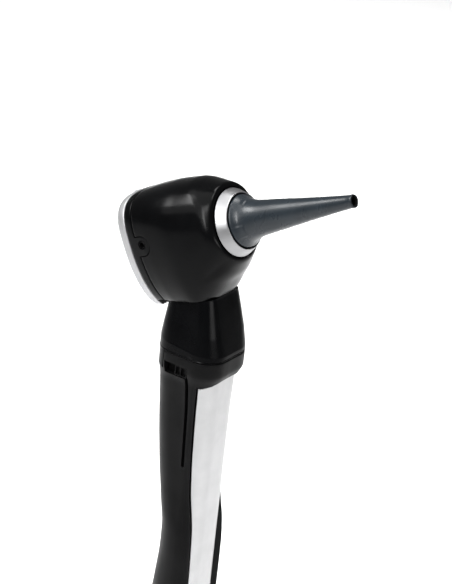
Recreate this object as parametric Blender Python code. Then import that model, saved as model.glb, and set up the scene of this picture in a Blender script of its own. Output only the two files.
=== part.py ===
"""Pocket otoscope: battery handle, magnifying head, throw-away ear speculum.

Origin: centre of the handle's flat bottom. +Z up the handle, +X the way the
speculum points, so the belt clip is on the -X side.  Lengths below are in mm.
"""
import math

import bmesh
import bpy
import numpy as np
from mathutils import Vector

MM = 0.001
GAP = 0.3                     # air left between neighbouring pieces

# Overall arrangement
SEAM_Z = 116.0                # joint between handle and head
TILT = math.radians(26.0)     # the viewing axis rises towards the speculum
RING_X = 10.4                 # centre of the front ring, ahead of the handle axis
RING_Z = SEAM_Z + 44.5
COLLAR = 11.34                # half width of the square collar at the seam
COLLAR_R = 7.4

# Front ring and speculum, measured along the viewing axis
RING_R_IN = 8.5
RING_R_OUT = 10.3
RING_BEVEL = 3.13
SPEC_LEN = 39.45
TIP_R = 2.06
TIP_BORE_R = 1.55

# Head shell stations along the viewing axis
SHELL_FRONT = -3.4
SHELL_REAR = -31.0
SHELL_WALL = 1.9
FACE_R = 11.4                 # cone round the ring: radius at the front, and its slopes
FACE_SLOPE = 0.72
ROOF_RISE = 0.7
ROOF_SLOPE = -0.3
CHIN_SLOPE = 0.6
CREASE = 0.25
FRAME_FRONT = -31.3
FRAME_REAR = -33.9
RIM_FRONT = -34.2
RIM_REAR = -37.4
RIM_WALL = 2.3
RIM_DROP = 2.3                # the rim hangs this far below the head's joint plane
HEAD_SEG = 36
PIN_V = 13.2                  # the rim's pivot, above the viewing axis
TAB_HALF = 2.9                # ear of the rear frame that carries the air port
TAB_TIP = -26.4
PORT_S = -29.2
PORT_V = 0.4

# Joint between head shell and neck: a plane that rises towards the front
NECK_SLOPE = 0.316
NECK_TOP = SEAM_Z + 17.8
NECK_BORE_R = 5.2
PLUG_R = 5.1

# Handle
CELL_R = 5.25
CELL_LEN = 44.5
CELL_X = 2.2
CELL_BOTTOM = 12.6
BORE_R = CELL_R + GAP
PANEL_T = 0.85
CLIP_TOP = 6.9                # drops below the seam
CLIP_END = 84.0
CLIP_HALF = 5.0
WAIST_DROP = 66.0
CLIP_PIN_X = -8.4
CLIP_PIN_DROP = 9.2
CLIP_T = 1.1
SLOT_WIDTH = 0.9
SLOT_TOP = 6.0
SLOT_END = 36.9
SLOT_X_TOP = 2.4
SLOT_X_LOW = 3.0
SLOT_FLOOR_Y = 7.6
WINDOW_FRONT_X = 2.9
WINDOW_TOP = 3.0
WINDOW_BACK_X = -5.8
TONGUE_X = -6.6
TONGUE_DROP = 5.8
TONGUE_T = 1.2
CAP_R = 6.4
LUG_GROOVE_R = 7.7
SOCKET_R = 6.6
SOCKET_DROP = 7.6

AXIS = Vector((math.cos(TILT), 0.0, math.sin(TILT)))
UP = Vector((-math.sin(TILT), 0.0, math.cos(TILT)))
SIDE = Vector((0.0, 1.0, 0.0))
RING = Vector((RING_X, 0.0, RING_Z))


def head_pt(s, y, v):
    """A point s ahead of the front ring's mouth, y to the left, v above the viewing axis."""
    return RING + AXIS * s + SIDE * y + UP * v


# ---------------------------------------------------------------- mesh helpers
def make_material(name, color, metallic, roughness, alpha=1.0):
    mat = bpy.data.materials.new(name)
    mat.use_nodes = True
    shader = mat.node_tree.nodes["Principled BSDF"]
    shader.inputs["Base Color"].default_value = (color[0], color[1], color[2], 1.0)
    shader.inputs["Metallic"].default_value = metallic
    shader.inputs["Roughness"].default_value = roughness
    shader.inputs["Alpha"].default_value = alpha
    return mat


FINISH = {
    "black": ((0.02, 0.02, 0.022), 0.0, 0.35),
    "grey": ((0.05, 0.06, 0.07), 0.0, 0.4),
    "alu": ((0.75, 0.75, 0.76), 1.0, 0.4),
    "chrome": ((0.8, 0.8, 0.8), 1.0, 0.2),
    "brass": ((0.8, 0.6, 0.3), 1.0, 0.3),
    "rubber": ((0.03, 0.03, 0.03), 0.0, 0.8),
    "clear": ((0.9, 0.95, 0.95), 0.0, 0.05),
    "board": ((0.05, 0.25, 0.1), 0.0, 0.5),
    "label": ((0.15, 0.2, 0.35), 0.0, 0.4),
}


def finish_mesh(name, bm, finish, smooth_angle=35.0):
    """Turn a bmesh in mm into a shaded, closed object in metres."""
    bmesh.ops.remove_doubles(bm, verts=bm.verts, dist=0.001)
    bmesh.ops.recalc_face_normals(bm, faces=bm.faces)
    bmesh.ops.scale(bm, vec=(MM, MM, MM), verts=bm.verts)
    mesh = bpy.data.meshes.new(name)
    bm.to_mesh(mesh)
    bm.free()
    for poly in mesh.polygons:
        poly.use_smooth = True
    mesh.set_sharp_from_angle(angle=math.radians(smooth_angle))
    obj = bpy.data.objects.new(name, mesh)
    bpy.context.scene.collection.objects.link(obj)
    color, metallic, roughness = FINISH[finish]
    alpha = 0.35 if finish == "clear" else 1.0
    mesh.materials.append(make_material(name, color, metallic, roughness, alpha))
    return obj


def add_rings(bm, rings, closed_path=False, strip=False):
    """Skin a row of closed rings that all have the same number of points.

    strip: the ring is a thin C whose second half runs back along the first.
    """
    rows = [[bm.verts.new(p) for p in ring] for ring in rings]
    count = len(rows[0])
    pairs = list(zip(rows[:-1], rows[1:]))
    if closed_path:
        pairs.append((rows[-1], rows[0]))
    for low, high in pairs:
        for i in range(count):
            j = (i + 1) % count
            bm.faces.new((low[i], low[j], high[j], high[i]))
    if closed_path:
        return
    for row in (rows[0], rows[-1]):
        if strip:
            for i in range(count // 2 - 1):
                bm.faces.new((row[i], row[i + 1], row[count - 2 - i], row[count - 1 - i]))
        else:
            fan(bm, row)


def fan(bm, row):
    centre = sum((v.co for v in row), Vector()) / len(row)
    hub = bm.verts.new(centre)
    for i in range(len(row)):
        bm.faces.new((row[i], row[(i + 1) % len(row)], hub))


def loft(name, rings, finish, closed_path=False, smooth_angle=35.0, strip=False):
    bm = bmesh.new()
    add_rings(bm, rings, closed_path, strip)
    return finish_mesh(name, bm, finish, smooth_angle)


def circle(centre, normal, radius, count, ref=None):
    n = Vector(normal).normalized()
    a = Vector(ref) if ref else (Vector((0, 1, 0)) if abs(n.y) < 0.9 else Vector((1, 0, 0)))
    a = (a - n * a.dot(n)).normalized()
    b = n.cross(a)
    step = 2 * math.pi / count
    return [Vector(centre) + a * radius * math.cos(step * i) + b * radius * math.sin(step * i)
            for i in range(count)]


def turn(name, profile, finish, origin=(0, 0, 0), axis=(0, 0, 1), count=48, closed=True,
         smooth_angle=35.0):
    """Spin a profile of (height, radius) about an axis.

    closed: the profile is a loop around a ring-shaped body; otherwise it runs from
    one flat end to the other and both ends are capped.
    """
    o = Vector(origin)
    n = Vector(axis).normalized()
    rings = [circle(o + n * h, n, r, count) for h, r in profile]
    return loft(name, rings, finish, closed, smooth_angle)


def rounded(xf, xb, hy, rf, rb, z, per_corner=5):
    """Rounded rectangle at height z: front at xf, back at xb, half width hy."""
    pts = []
    corners = ((xf - rf, hy - rf, rf, 0), (xb + rb, hy - rb, rb, 90),
               (xb + rb, rb - hy, rb, 180), (xf - rf, rf - hy, rf, 270))
    for cx, cy, r, start in corners:
        for k in range(per_corner + 1):
            ang = math.radians(start + 90.0 * k / per_corner)
            pts.append(Vector((cx + r * math.cos(ang), cy + r * math.sin(ang), z)))
    return pts


def box(name, lo, hi, finish):
    bm = bmesh.new()
    bmesh.ops.create_cube(bm, size=1.0)
    for vert in bm.verts:
        for k in range(3):
            vert.co[k] = lo[k] if vert.co[k] < 0 else hi[k]
    return finish_mesh(name, bm, finish, 30.0)


def carve(obj, cutters, operation="DIFFERENCE"):
    """Apply exact booleans and drop the cutters."""
    for cutter in cutters:
        cutter.hide_render = True
        cutter.display_type = "WIRE"
        mod = obj.modifiers.new("cut", "BOOLEAN")
        mod.operation = operation
        mod.solver = "EXACT"
        mod.object = cutter
    bpy.context.view_layer.update()
    graph = bpy.context.evaluated_depsgraph_get()
    mesh = bpy.data.meshes.new_from_object(obj.evaluated_get(graph))
    obj.modifiers.clear()
    mat = obj.data.materials[0]
    obj.data = mesh
    mesh.materials.clear()
    mesh.materials.append(mat)
    for poly in mesh.polygons:
        poly.material_index = 0
    mesh.set_sharp_from_angle(angle=math.radians(35.0))
    for cutter in cutters:
        bpy.data.objects.remove(cutter, do_unlink=True)
    return obj


def pipe(name, path, radius, finish, sides=12):
    """Round bar along a list of points."""
    rings = []
    ref = None
    for i, p in enumerate(path):
        ahead = path[min(i + 1, len(path) - 1)]
        behind = path[max(i - 1, 0)]
        n = (Vector(ahead) - Vector(behind)).normalized()
        if ref is None:
            ref = Vector((0, 1, 0)) if abs(n.y) < 0.9 else Vector((1, 0, 0))
        ref = (ref - n * ref.dot(n)).normalized()
        rings.append(circle(p, n, radius, sides, ref))
    return loft(name, rings, finish)


def set_origin(obj, point_mm):
    """Put the object's origin on its joint axis without moving its mesh."""
    shift = Vector(point_mm) * MM
    for vert in obj.data.vertices:
        vert.co -= shift
    obj.location = shift


# ---------------------------------------------------------------- handle shape
# drop below the seam, front x, back x, half width, front corner, back corner
HANDLE_TABLE = (
    (0.3, 11.1, 11.0, 11.1, 7.2, 7.2),
    (0.8, 11.45, 11.34, 11.45, 7.4, 7.4),
    (4.7, 11.45, 11.34, 11.4, 7.4, 7.4),
    (5.3, 11.3, 11.36, 11.25, 7.2, 7.4),
    (8.0, 9.95, 11.4, 10.4, 6.7, 7.6),
    (8.8, 9.75, 11.42, 10.2, 6.6, 7.7),
    (11.0, 9.7, 11.46, 9.95, 6.4, 7.8),
    (15.0, 9.7, 11.5, 9.55, 6.2, 8.0),
    (20.0, 9.7, 11.4, 9.25, 6.2, 8.2),
    (28.0, 9.7, 10.9, 9.05, 6.2, 8.3),
    (36.0, 9.7, 10.1, 8.9, 6.2, 8.3),
    (45.0, 9.7, 8.9, 8.9, 6.2, 8.3),
    (53.0, 9.7, 7.4, 9.5, 6.0, 8.7),
    (61.0, 9.7, 6.2, 10.6, 5.5, 10.3),
    (68.0, 9.7, 6.0, 11.0, 5.1, 10.5),
    (80.0, 9.75, 6.8, 11.2, 5.4, 10.4),
    (95.0, 9.9, 8.3, 11.2, 6.0, 9.6),
    (108.0, 10.3, 9.7, 11.0, 6.4, 8.6),
    (115.0, 10.6, 10.3, 10.8, 6.6, 8.0),
    (116.0, 10.0, 9.7, 10.2, 6.2, 7.6),
)
# drop, outer half width of the panel, x of its side edge
PANEL_TABLE = (
    (5.0, 9.5, 5.7),
    (12.0, 9.05, 5.6),
    (20.0, 8.6, 5.4),
    (30.0, 8.4, 5.5),
    (44.0, 8.3, 6.1),
    (60.0, 8.3, 7.5),
    (80.0, 8.3, 7.9),
    (102.0, 8.3, 7.9),
)
PANEL_X = 9.5
PANEL_CORNER = 6.0
PANEL_TOP_FRONT = 7.3         # drop of the panel's top edge at the front
PANEL_TOP_SIDE = 9.6
PANEL_TOP_POWER = 3.0
PANEL_END_FRONT = 101.0
PANEL_END_SIDE = 98.0


def smooth_lookup(table, x):
    """Monotone cubic interpolation of every column of a table."""
    t = np.array(table, dtype=float)
    xs = t[:, 0]
    x = min(max(x, xs[0]), xs[-1])
    i = int(min(np.searchsorted(xs, x, side="right") - 1, len(xs) - 2))
    i = max(i, 0)
    h = xs[i + 1] - xs[i]
    f = (x - xs[i]) / h
    secant = (t[1:] - t[:-1]) / (xs[1:] - xs[:-1])[:, None]

    def slope(k):
        if k == 0:
            return secant[0]
        if k == len(xs) - 1:
            return secant[-1]
        a, b = secant[k - 1], secant[k]
        return np.where(a * b > 0, 2 * a * b / np.where(a + b == 0, 1, a + b), 0.0)

    m0, m1 = slope(i), slope(i + 1)
    return ((2 * f ** 3 - 3 * f ** 2 + 1) * t[i] + (f ** 3 - 2 * f ** 2 + f) * h * m0
            + (3 * f ** 2 - 2 * f ** 3) * t[i + 1] + (f ** 3 - f ** 2) * h * m1)[1:]


def handle_ring(drop, inset=0.0, per_corner=5):
    xf, xb, hy, rf, rb = smooth_lookup(HANDLE_TABLE, drop)
    return rounded(xf - inset, inset - xb, hy - inset, max(rf - inset, 0.5),
                   max(rb - inset, 0.5), SEAM_Z - drop, per_corner)


def panel_path(drop, offset, edge_shift, steps=4):
    """Half outline of the panel's outside, pushed out by offset, from -Y edge to +Y edge."""
    hy, edge_x = smooth_lookup(PANEL_TABLE, drop)
    cx = PANEL_X - PANEL_CORNER
    cy = hy - PANEL_CORNER
    r = PANEL_CORNER + offset
    start = math.acos(min(max((edge_x + edge_shift - cx) / PANEL_CORNER, -1.0), 1.0))
    pts = []
    for k in range(steps + 1):
        ang = -start * (1 - k / steps)
        pts.append((cx + r * math.cos(ang), -cy + r * math.sin(ang)))
    pts.append((cx + r, 0.0))
    for k in range(steps + 1):
        ang = start * k / steps
        pts.append((cx + r * math.cos(ang), cy + r * math.sin(ang)))
    return pts


def panel_solid(name, grow, outer, finish):
    """C-shaped strip around the handle's front; grow widens it into a cutter."""
    rings = []
    steps = 14
    for k in range(steps + 1):
        f = k / steps
        base = PANEL_TOP_SIDE + f * (PANEL_END_SIDE - PANEL_TOP_SIDE)
        outside = panel_path(base, outer, -grow)
        inside = panel_path(base, -PANEL_T - grow, -grow)
        ring = []
        for px, py in outside + inside[::-1]:
            w = min(abs(py) / 8.3, 1.0) ** PANEL_TOP_POWER
            top = PANEL_TOP_FRONT + w * (PANEL_TOP_SIDE - PANEL_TOP_FRONT) - grow
            end = PANEL_END_FRONT + w * (PANEL_END_SIDE - PANEL_END_FRONT) + grow
            ring.append(Vector((px, py, SEAM_Z - (top + f * (end - top)))))
        rings.append(ring)
    return loft(name, rings, finish, strip=True)


def back_x(drop, y):
    """The handle's back surface at a height and a distance from the middle plane.

    Below the waist the clip hangs straight, so the clip asks for the waist's shape there.
    """
    xf, xb, hy, rf, rb = smooth_lookup(HANDLE_TABLE, drop)
    flat = hy - rb
    reach = max(abs(y) - flat, 0.0)
    return rb - xb - math.sqrt(max(rb * rb - reach * reach, 0.0))


def blade_rings(start, end, half, inner, outer, count, taper=0.0, bump=0.0):
    """Rings of a strip on the handle's back; inner and outer are depths from its outside."""
    rings = []
    across = 6
    for k in range(count + 1):
        f = k / count
        drop = start + (end - start) * f
        shape_drop = min(drop, WAIST_DROP)
        wide = half - taper * f
        tip = max(0.0, 1.0 - abs(drop - (end - 3.5)) / 3.5) * bump
        out_pts, in_pts = [], []
        for m in range(across + 1):
            y = wide * (2.0 * m / across - 1.0)
            x = back_x(shape_drop, y)
            out_pts.append(Vector((x - outer - tip, y, SEAM_Z - drop)))
            in_pts.append(Vector((x + inner, y, SEAM_Z - drop)))
        rings.append(out_pts + in_pts[::-1])
    return rings


# ---------------------------------------------------------------- head shape
# station, half width, top height, bottom depth, upper power, lower power, mid height
HEAD_TABLE = (
    (-38.2, 12.8, 14.8, 21.2, 2.8, 2.25, 2.6),
    (-34.2, 13.3, 15.2, 21.6, 2.8, 2.25, 2.6),
    (-31.0, 13.7, 15.4, 22.2, 2.75, 2.25, 2.5),
    (-26.0, 14.2, 15.7, 23.8, 2.6, 2.35, 2.0),
    (-20.0, 14.5, 15.8, 24.4, 2.35, 2.55, 1.2),
    (-15.0, 14.15, 15.55, 21.3, 2.2, 2.75, 0.6),
    (-10.0, 13.6, 15.25, 17.0, 2.1, 2.6, 0.2),
    (-7.4, 13.25, 15.0, 15.1, 2.05, 2.3, 0.0),
    (-5.3, 12.9, 14.7, 13.2, 2.0, 2.1, 0.0),
    (-3.4, 12.6, 14.4, 11.5, 2.0, 2.0, 0.0),
)


def head_ring(s, inset=0.0, count=HEAD_SEG):
    """Section of the head at a station: a squarish oval, cut by a cone near the front."""
    w, top, bottom, n_up, n_low, mid = smooth_lookup(HEAD_TABLE, s)
    pts = []
    for k in range(count):
        ang = 2 * math.pi * k / count
        c, sn = math.cos(ang), math.sin(ang)
        power = n_up if sn >= 0 else n_low
        reach = (top - mid) if sn >= 0 else (bottom + mid)
        y = math.copysign(abs(c) ** (2 / power), c) * (w - inset)
        v = mid + math.copysign(abs(sn) ** (2 / power), sn) * (reach - inset)
        away = math.hypot(y, v)
        roof = smooth_step(0.3, 0.95, v / away)
        chin = smooth_step(0.75, 1.0, -v / away)
        slope = FACE_SLOPE + ROOF_SLOPE * roof + CHIN_SLOPE * chin
        cone = FACE_R + ROOF_RISE * roof - inset + (SHELL_FRONT - s) * slope
        both = away + cone
        keep = (both - math.sqrt((away - cone) ** 2 + CREASE ** 2)) / 2 / away
        pts.append(head_pt(s, y * keep, v * keep))
    return pts


def smooth_step(a, b, x):
    f = min(max((x - a) / (b - a), 0.0), 1.0)
    return f * f * (3.0 - 2.0 * f)


# rise above the seam, front x, back x, half width, corner, slope of the ring
NECK_TABLE = (
    (0.35, 11.1, 11.0, 11.1, 7.2, 0.0),
    (0.8, 11.45, 11.34, 11.45, 7.4, -0.03),
    (3.1, 11.45, 11.42, 11.5, 7.3, -0.17),
    (3.5, 11.4, 11.38, 11.4, 7.1, -0.17),
    (8.0, 9.9, 10.72, 10.55, 5.6, -0.05),
    (18.0, 6.75, 9.35, 8.75, 3.8, 0.2),
    (27.0, 5.6, 8.3, 7.6, 2.6, 0.3),
)


def clear_scene():
    for obj in list(bpy.data.objects):
        bpy.data.objects.remove(obj, do_unlink=True)


def cylinder(name, origin, axis, start, end, radius, finish="black", count=48):
    return turn(name, [(start, radius), (end, radius)], finish, origin, axis, count, False)


# ---------------------------------------------------------------- the handle
def build_chassis():
    drops = (0.3, 0.8, 4.7, 5.3, 8.0, 8.8, 11.0, 15.0, 20.0, 28.0, 36.0, 45.0, 50.0, 56.0, 62.0, 68.0,
             80.0, 95.0, 108.0, 115.0, 116.0)
    body = loft("handle_chassis", [handle_ring(d) for d in drops], "black")
    cell_axis = (CELL_X, 0, 0)
    up = (0, 0, 1)
    cuts = [
        turn("cut_socket", [(SEAM_Z - 13.0, 4.4), (SEAM_Z - SOCKET_DROP, 4.4),
                            (SEAM_Z - SOCKET_DROP, SOCKET_R), (SEAM_Z + 1.0, SOCKET_R)],
             "black", (0, 0, 0), up, 35, False),
        turn("cut_bore", [(-1.0, CAP_R + GAP), (2.9, CAP_R + GAP), (2.9, LUG_GROOVE_R),
                          (4.35, LUG_GROOVE_R), (4.35, BORE_R), (SEAM_Z - 12.6, BORE_R)],
             "black", cell_axis, up, 32, False),
        panel_solid("cut_panel", GAP, 4.0, "black"),
        loft("cut_clip", blade_rings(CLIP_TOP - GAP, CLIP_END + 1.5, CLIP_HALF + 0.4,
                                     CLIP_T + GAP, 9.0, 18), "black", strip=True),
        slot_cutter(-1.0),
        slot_cutter(1.0),
        box("cut_strip", (1.2, 3.0, 4.6), (3.2, 6.6, 101.0), "black"),
        box("cut_lug_way", (CELL_X - 1.6, -7.7, -1.0), (CELL_X + 1.6, 7.7, 3.2), "black"),
        box("cut_hinge_bay", (-12.0, -3.0, SEAM_Z - 11.4), (-6.8, 3.0, SEAM_Z - 7.75), "black"),
        cylinder("cut_pin", (CLIP_PIN_X, 0, SEAM_Z - CLIP_PIN_DROP), (0, 1, 0), -5.4, 5.4, 1.0,
                 count=16),
        box("cut_window", (WINDOW_BACK_X, -14.0, SEAM_Z - 7.0),
            (WINDOW_FRONT_X, -8.9, SEAM_Z - WINDOW_TOP), "black"),
        box("cut_window_deep", (WINDOW_BACK_X - 0.6, -9.1, SEAM_Z - 7.3),
            (WINDOW_FRONT_X + 0.5, -7.5, SEAM_Z - WINDOW_TOP + 0.5), "black"),
        tongue_cutter(),
    ]
    return carve(body, cuts)


def tongue_cutter():
    """Skin of the collar's back that gives way to the head's tongue."""
    skin = box("cut_tongue", (-14.0, -14.0, SEAM_Z - TONGUE_DROP - GAP),
               (TONGUE_X + GAP, 14.0, SEAM_Z + 1.0), "black")
    depth = TONGUE_T + GAP
    half = COLLAR - depth
    corner = COLLAR_R - depth
    core = loft("core", [rounded(half, -half, half, corner, corner, SEAM_Z - d)
                         for d in (9.0, -3.0)], "black")
    return carve(skin, [core])


def slot_cutter(side):
    """Narrow straight groove down the handle's side, round at its lower end."""
    top = SEAM_Z - SLOT_TOP
    low = SEAM_Z - SLOT_END
    half = SLOT_WIDTH / 2
    pts = [(SLOT_X_TOP - half, top), (SLOT_X_TOP + half, top)]
    for k in range(7):
        ang = math.pi * k / 6
        pts.append((SLOT_X_LOW + half * math.cos(ang), low - half * math.sin(ang)))
    rings = [[Vector((x, side * y, z)) for x, z in pts] for y in (SLOT_FLOOR_Y, 14.0)]
    return loft("cut_slot", rings, "black")


def build_clip():
    rings = blade_rings(CLIP_TOP, CLIP_END, CLIP_HALF, CLIP_T, 0.0, 18, 1.2, 0.9)
    clip = loft("pocket_clip", rings, "black", strip=True)
    pin_z = SEAM_Z - CLIP_PIN_DROP
    lug = box("join_lug", (-10.6, -2.6, pin_z - 1.6), (-7.15, 2.6, pin_z + 1.15), "black")
    carve(clip, [lug], "UNION")
    hole = cylinder("cut_pin_hole", (CLIP_PIN_X, 0, pin_z), (0, 1, 0), -4.0, 4.0, 0.8, count=16)
    carve(clip, [hole])
    set_origin(clip, (CLIP_PIN_X, 0, pin_z))
    cylinder("clip_pin", (CLIP_PIN_X, 0, pin_z), (0, 1, 0), -5.0, 5.0, 0.7, "chrome", 16)


def build_switch():
    z = SEAM_Z
    knob = box("switch_slider", (-1.9, -11.0, z - 6.5), (2.5, -8.7, z - WINDOW_TOP - GAP), "black")
    base = box("join_base", (-2.4, -8.8, z - 6.8), (2.9, -8.35, z - WINDOW_TOP + 0.2), "black")
    carve(knob, [base], "UNION")
    grooves = [box("cut_rib", (x, -12.0, z - 7.0), (x + 0.45, -10.6, z - 2.0), "black")
               for x in (-1.2, -0.3, 0.6, 1.5)]
    carve(knob, grooves)
    box("switch_board", (-5.9, -8.15, z - 7.0), (3.0, -7.7, z - 2.8), "board")


def build_power():
    cell_axis = (CELL_X, 0, 0)
    up = (0, 0, 1)
    low = CELL_BOTTOM
    for name, start in (("battery_lower", low), ("battery_upper", low + CELL_LEN + GAP)):
        top = start + CELL_LEN
        profile = [(start, 4.4), (start + 0.3, CELL_R), (top - 1.3, CELL_R), (top - 0.8, 4.5),
                   (top - 0.8, 1.9), (top - 0.1, 1.9), (top, 1.7)]
        turn(name, profile, "label", cell_axis, up, 24, False)
    cell_top = low + 2 * CELL_LEN + GAP
    plate = cell_top + GAP
    contact = cylinder("upper_contact", cell_axis, up, plate, plate + 0.7, 4.9, "brass", 32)
    stem = cylinder("join_stem", (0, 0, 0), up, plate + 0.3, SEAM_Z - 8.9, 1.4, "brass", 20)
    carve(contact, [stem], "UNION")
    turn("contact_bush", [(SEAM_Z - 12.2, 4.1), (SEAM_Z - 9.3, 4.1), (SEAM_Z - 9.3, 1.75),
                          (SEAM_Z - 12.2, 1.75)], "grey", count=24)
    turn("socket_collar", [(SEAM_Z - 7.3, 6.25), (SEAM_Z - 0.6, 6.25), (SEAM_Z - 0.6, 5.45),
                           (SEAM_Z - 7.3, 5.45)], "chrome", count=36)
    box("contact_strip", (1.5, 5.85, 5.2), (2.9, 6.2, 100.4), "brass")


def build_cap():
    cell_axis = (CELL_X, 0, 0)
    up = (0, 0, 1)
    cap = turn("end_cap", [(0.0, 6.0), (0.4, CAP_R), (1.3, CAP_R), (1.3, 5.4), (2.5, 5.4),
                           (2.5, CAP_R - 0.1), (4.0, CAP_R - 0.1)], "black", cell_axis, up, 32,
               False)
    lugs = [box("join_lug_a", (CELL_X + 5.0, -1.3, 3.2), (CELL_X + 7.35, 1.3, 3.95), "black"),
            box("join_lug_b", (CELL_X - 7.35, -1.3, 3.2), (CELL_X - 5.0, 1.3, 3.95), "black")]
    carve(cap, lugs, "UNION")
    slot = box("cut_coin", (CELL_X - 0.8, -5.2, -1.0), (CELL_X + 0.8, 5.2, 0.9), "black")
    carve(cap, [slot])
    set_origin(cap, (CELL_X, 0, 0))
    ring = []
    for k in range(8):
        ang = 2 * math.pi * k / 8
        ring.append((1.9 + 0.42 * math.sin(ang), 6.05 + 0.42 * math.cos(ang)))
    turn("end_cap_seal", ring, "rubber", cell_axis, up, 28)
    turn("end_cap_contact", [(4.35, 4.3), (4.8, 4.3), (4.8, 1.2), (4.35, 1.2)], "brass", cell_axis,
         up, 28)
    path = []
    turns = 5
    start, end = 5.6, CELL_BOTTOM - 0.8
    steps = turns * 10
    for k in range(steps + 1):
        ang = 2 * math.pi * k / 10
        path.append(Vector((CELL_X + 3.4 * math.cos(ang), 3.4 * math.sin(ang),
                            start + (end - start) * k / steps)))
    pipe("battery_spring", path, 0.42, "chrome", 5)


# ---------------------------------------------------------------- the head
def ring_profile(name, profile, finish, count=36, closed=True):
    return turn(name, profile, finish, RING, AXIS, count, closed)


def plane_cutter(name, drop_below, slope, x_lo, x_hi, height):
    """Block under the sloping plane z = NECK_TOP - drop_below + slope * x."""
    z0 = NECK_TOP - drop_below
    rings = []
    for y in (-20.0, 20.0):
        rings.append([Vector((x_lo, y, z0 + slope * x_lo)), Vector((x_hi, y, z0 + slope * x_hi)),
                      Vector((x_hi, y, z0 + slope * x_hi + height)),
                      Vector((x_lo, y, z0 + slope * x_lo + height))])
    return loft(name, rings, "black")


def tab_cutter(name, grow, depth_in, depth_out):
    """The rounded ear on the -Y side that carries the air port."""
    pts = []
    r = TAB_HALF + grow
    tip = TAB_TIP + grow
    for k in range(13):
        ang = math.radians(90.0 - 180.0 * k / 12)
        pts.append((tip - r + r * math.cos(ang), r * math.sin(ang)))
    back = FRAME_FRONT - 1.0
    pts = [(back, r)] + pts + [(back, -r)]
    rings = [[head_pt(s, -depth, v) for s, v in pts] for depth in (depth_in, depth_out)]
    return loft(name, rings, "black")


def build_shell():
    stations = [SHELL_REAR, -26.0, -20.0, -15.0, -11.5, -9.5, -8.2, -7.0, -6.0, -5.2, -4.4, -3.7,
                SHELL_FRONT]
    outer = [head_ring(s) for s in stations[:-1]] + [head_ring(SHELL_FRONT, 0.4)]
    inner = []
    mouth = 9.6
    count = HEAD_SEG
    for s in (SHELL_FRONT, -5.6):
        inner.append([head_pt(s, mouth * math.cos(2 * math.pi * k / count),
                              mouth * math.sin(2 * math.pi * k / count)) for k in range(count)])
    for s, inset in ((-7.0, 2.6), (-9.0, 2.0), (-13.0, SHELL_WALL), (-20.0, SHELL_WALL),
                     (SHELL_REAR, SHELL_WALL)):
        inner.append(head_ring(s, inset))
    shell = loft("head_shell", outer + inner, "black", True)
    # close the shell's underside with a floor, then trim it to the sloping joint
    floor_rings = []
    for drop in (2.2, 0.15):
        z0 = NECK_TOP + drop
        ring = []
        for p in rounded(7.0, -8.0, 9.3, 3.0, 3.0, 0.0):
            ring.append(Vector((p.x, p.y, z0 + NECK_SLOPE * p.x)))
        floor_rings.append(ring)
    floor = loft("join_floor", floor_rings, "black")
    hull = loft("clip_hull", [head_ring(s, 0.6) for s in stations[:-2]], "black")
    way = cylinder("cut_light_way", (0.4, 0, 0), (0, 0, 1), SEAM_Z + 8.0, SEAM_Z + 29.0, 3.0,
                   count=22)
    carve(floor, [way])
    carve(floor, [hull], "INTERSECT")
    carve(shell, [plane_cutter("cut_under", 0.0, NECK_SLOPE, -30.0, 30.0, -20.0)])
    carve(shell, [floor], "UNION")
    return carve(shell, [tab_cutter("cut_tab", GAP, 10.5, 18.0)])


def build_rear_frame():
    stations = (FRAME_REAR, FRAME_REAR + 0.9, FRAME_FRONT)
    outer = [head_ring(s) for s in stations]
    inner = [head_ring(s, 2.2) for s in reversed(stations)]
    frame = loft("rear_frame", outer + inner, "black", True)
    ear = tab_cutter("join_ear", 0.0, 10.6, 13.9)
    skin = loft("skin", [head_ring(s) for s in (-33.0, -30.0, -27.0, -24.0)], "black")
    hollow = loft("hollow", [head_ring(s, 1.6) for s in (-36.0, -30.0, -27.0, -22.0)], "black")
    carve(ear, [skin], "INTERSECT")
    carve(ear, [hollow])
    carve(frame, [ear], "UNION")
    cuts = [plane_cutter("cut_frame", 0.0, NECK_SLOPE, -30.0, 30.0, -20.0),
            cylinder("cut_port", head_pt(PORT_S, 0, PORT_V), (0, -1, 0), 9.0, 18.0, 1.35, count=20),
            cylinder("cut_pin", head_pt(0, 0, PIN_V), AXIS, -35.0, -32.4, 1.0, count=20)]
    return carve(frame, cuts)


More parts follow.
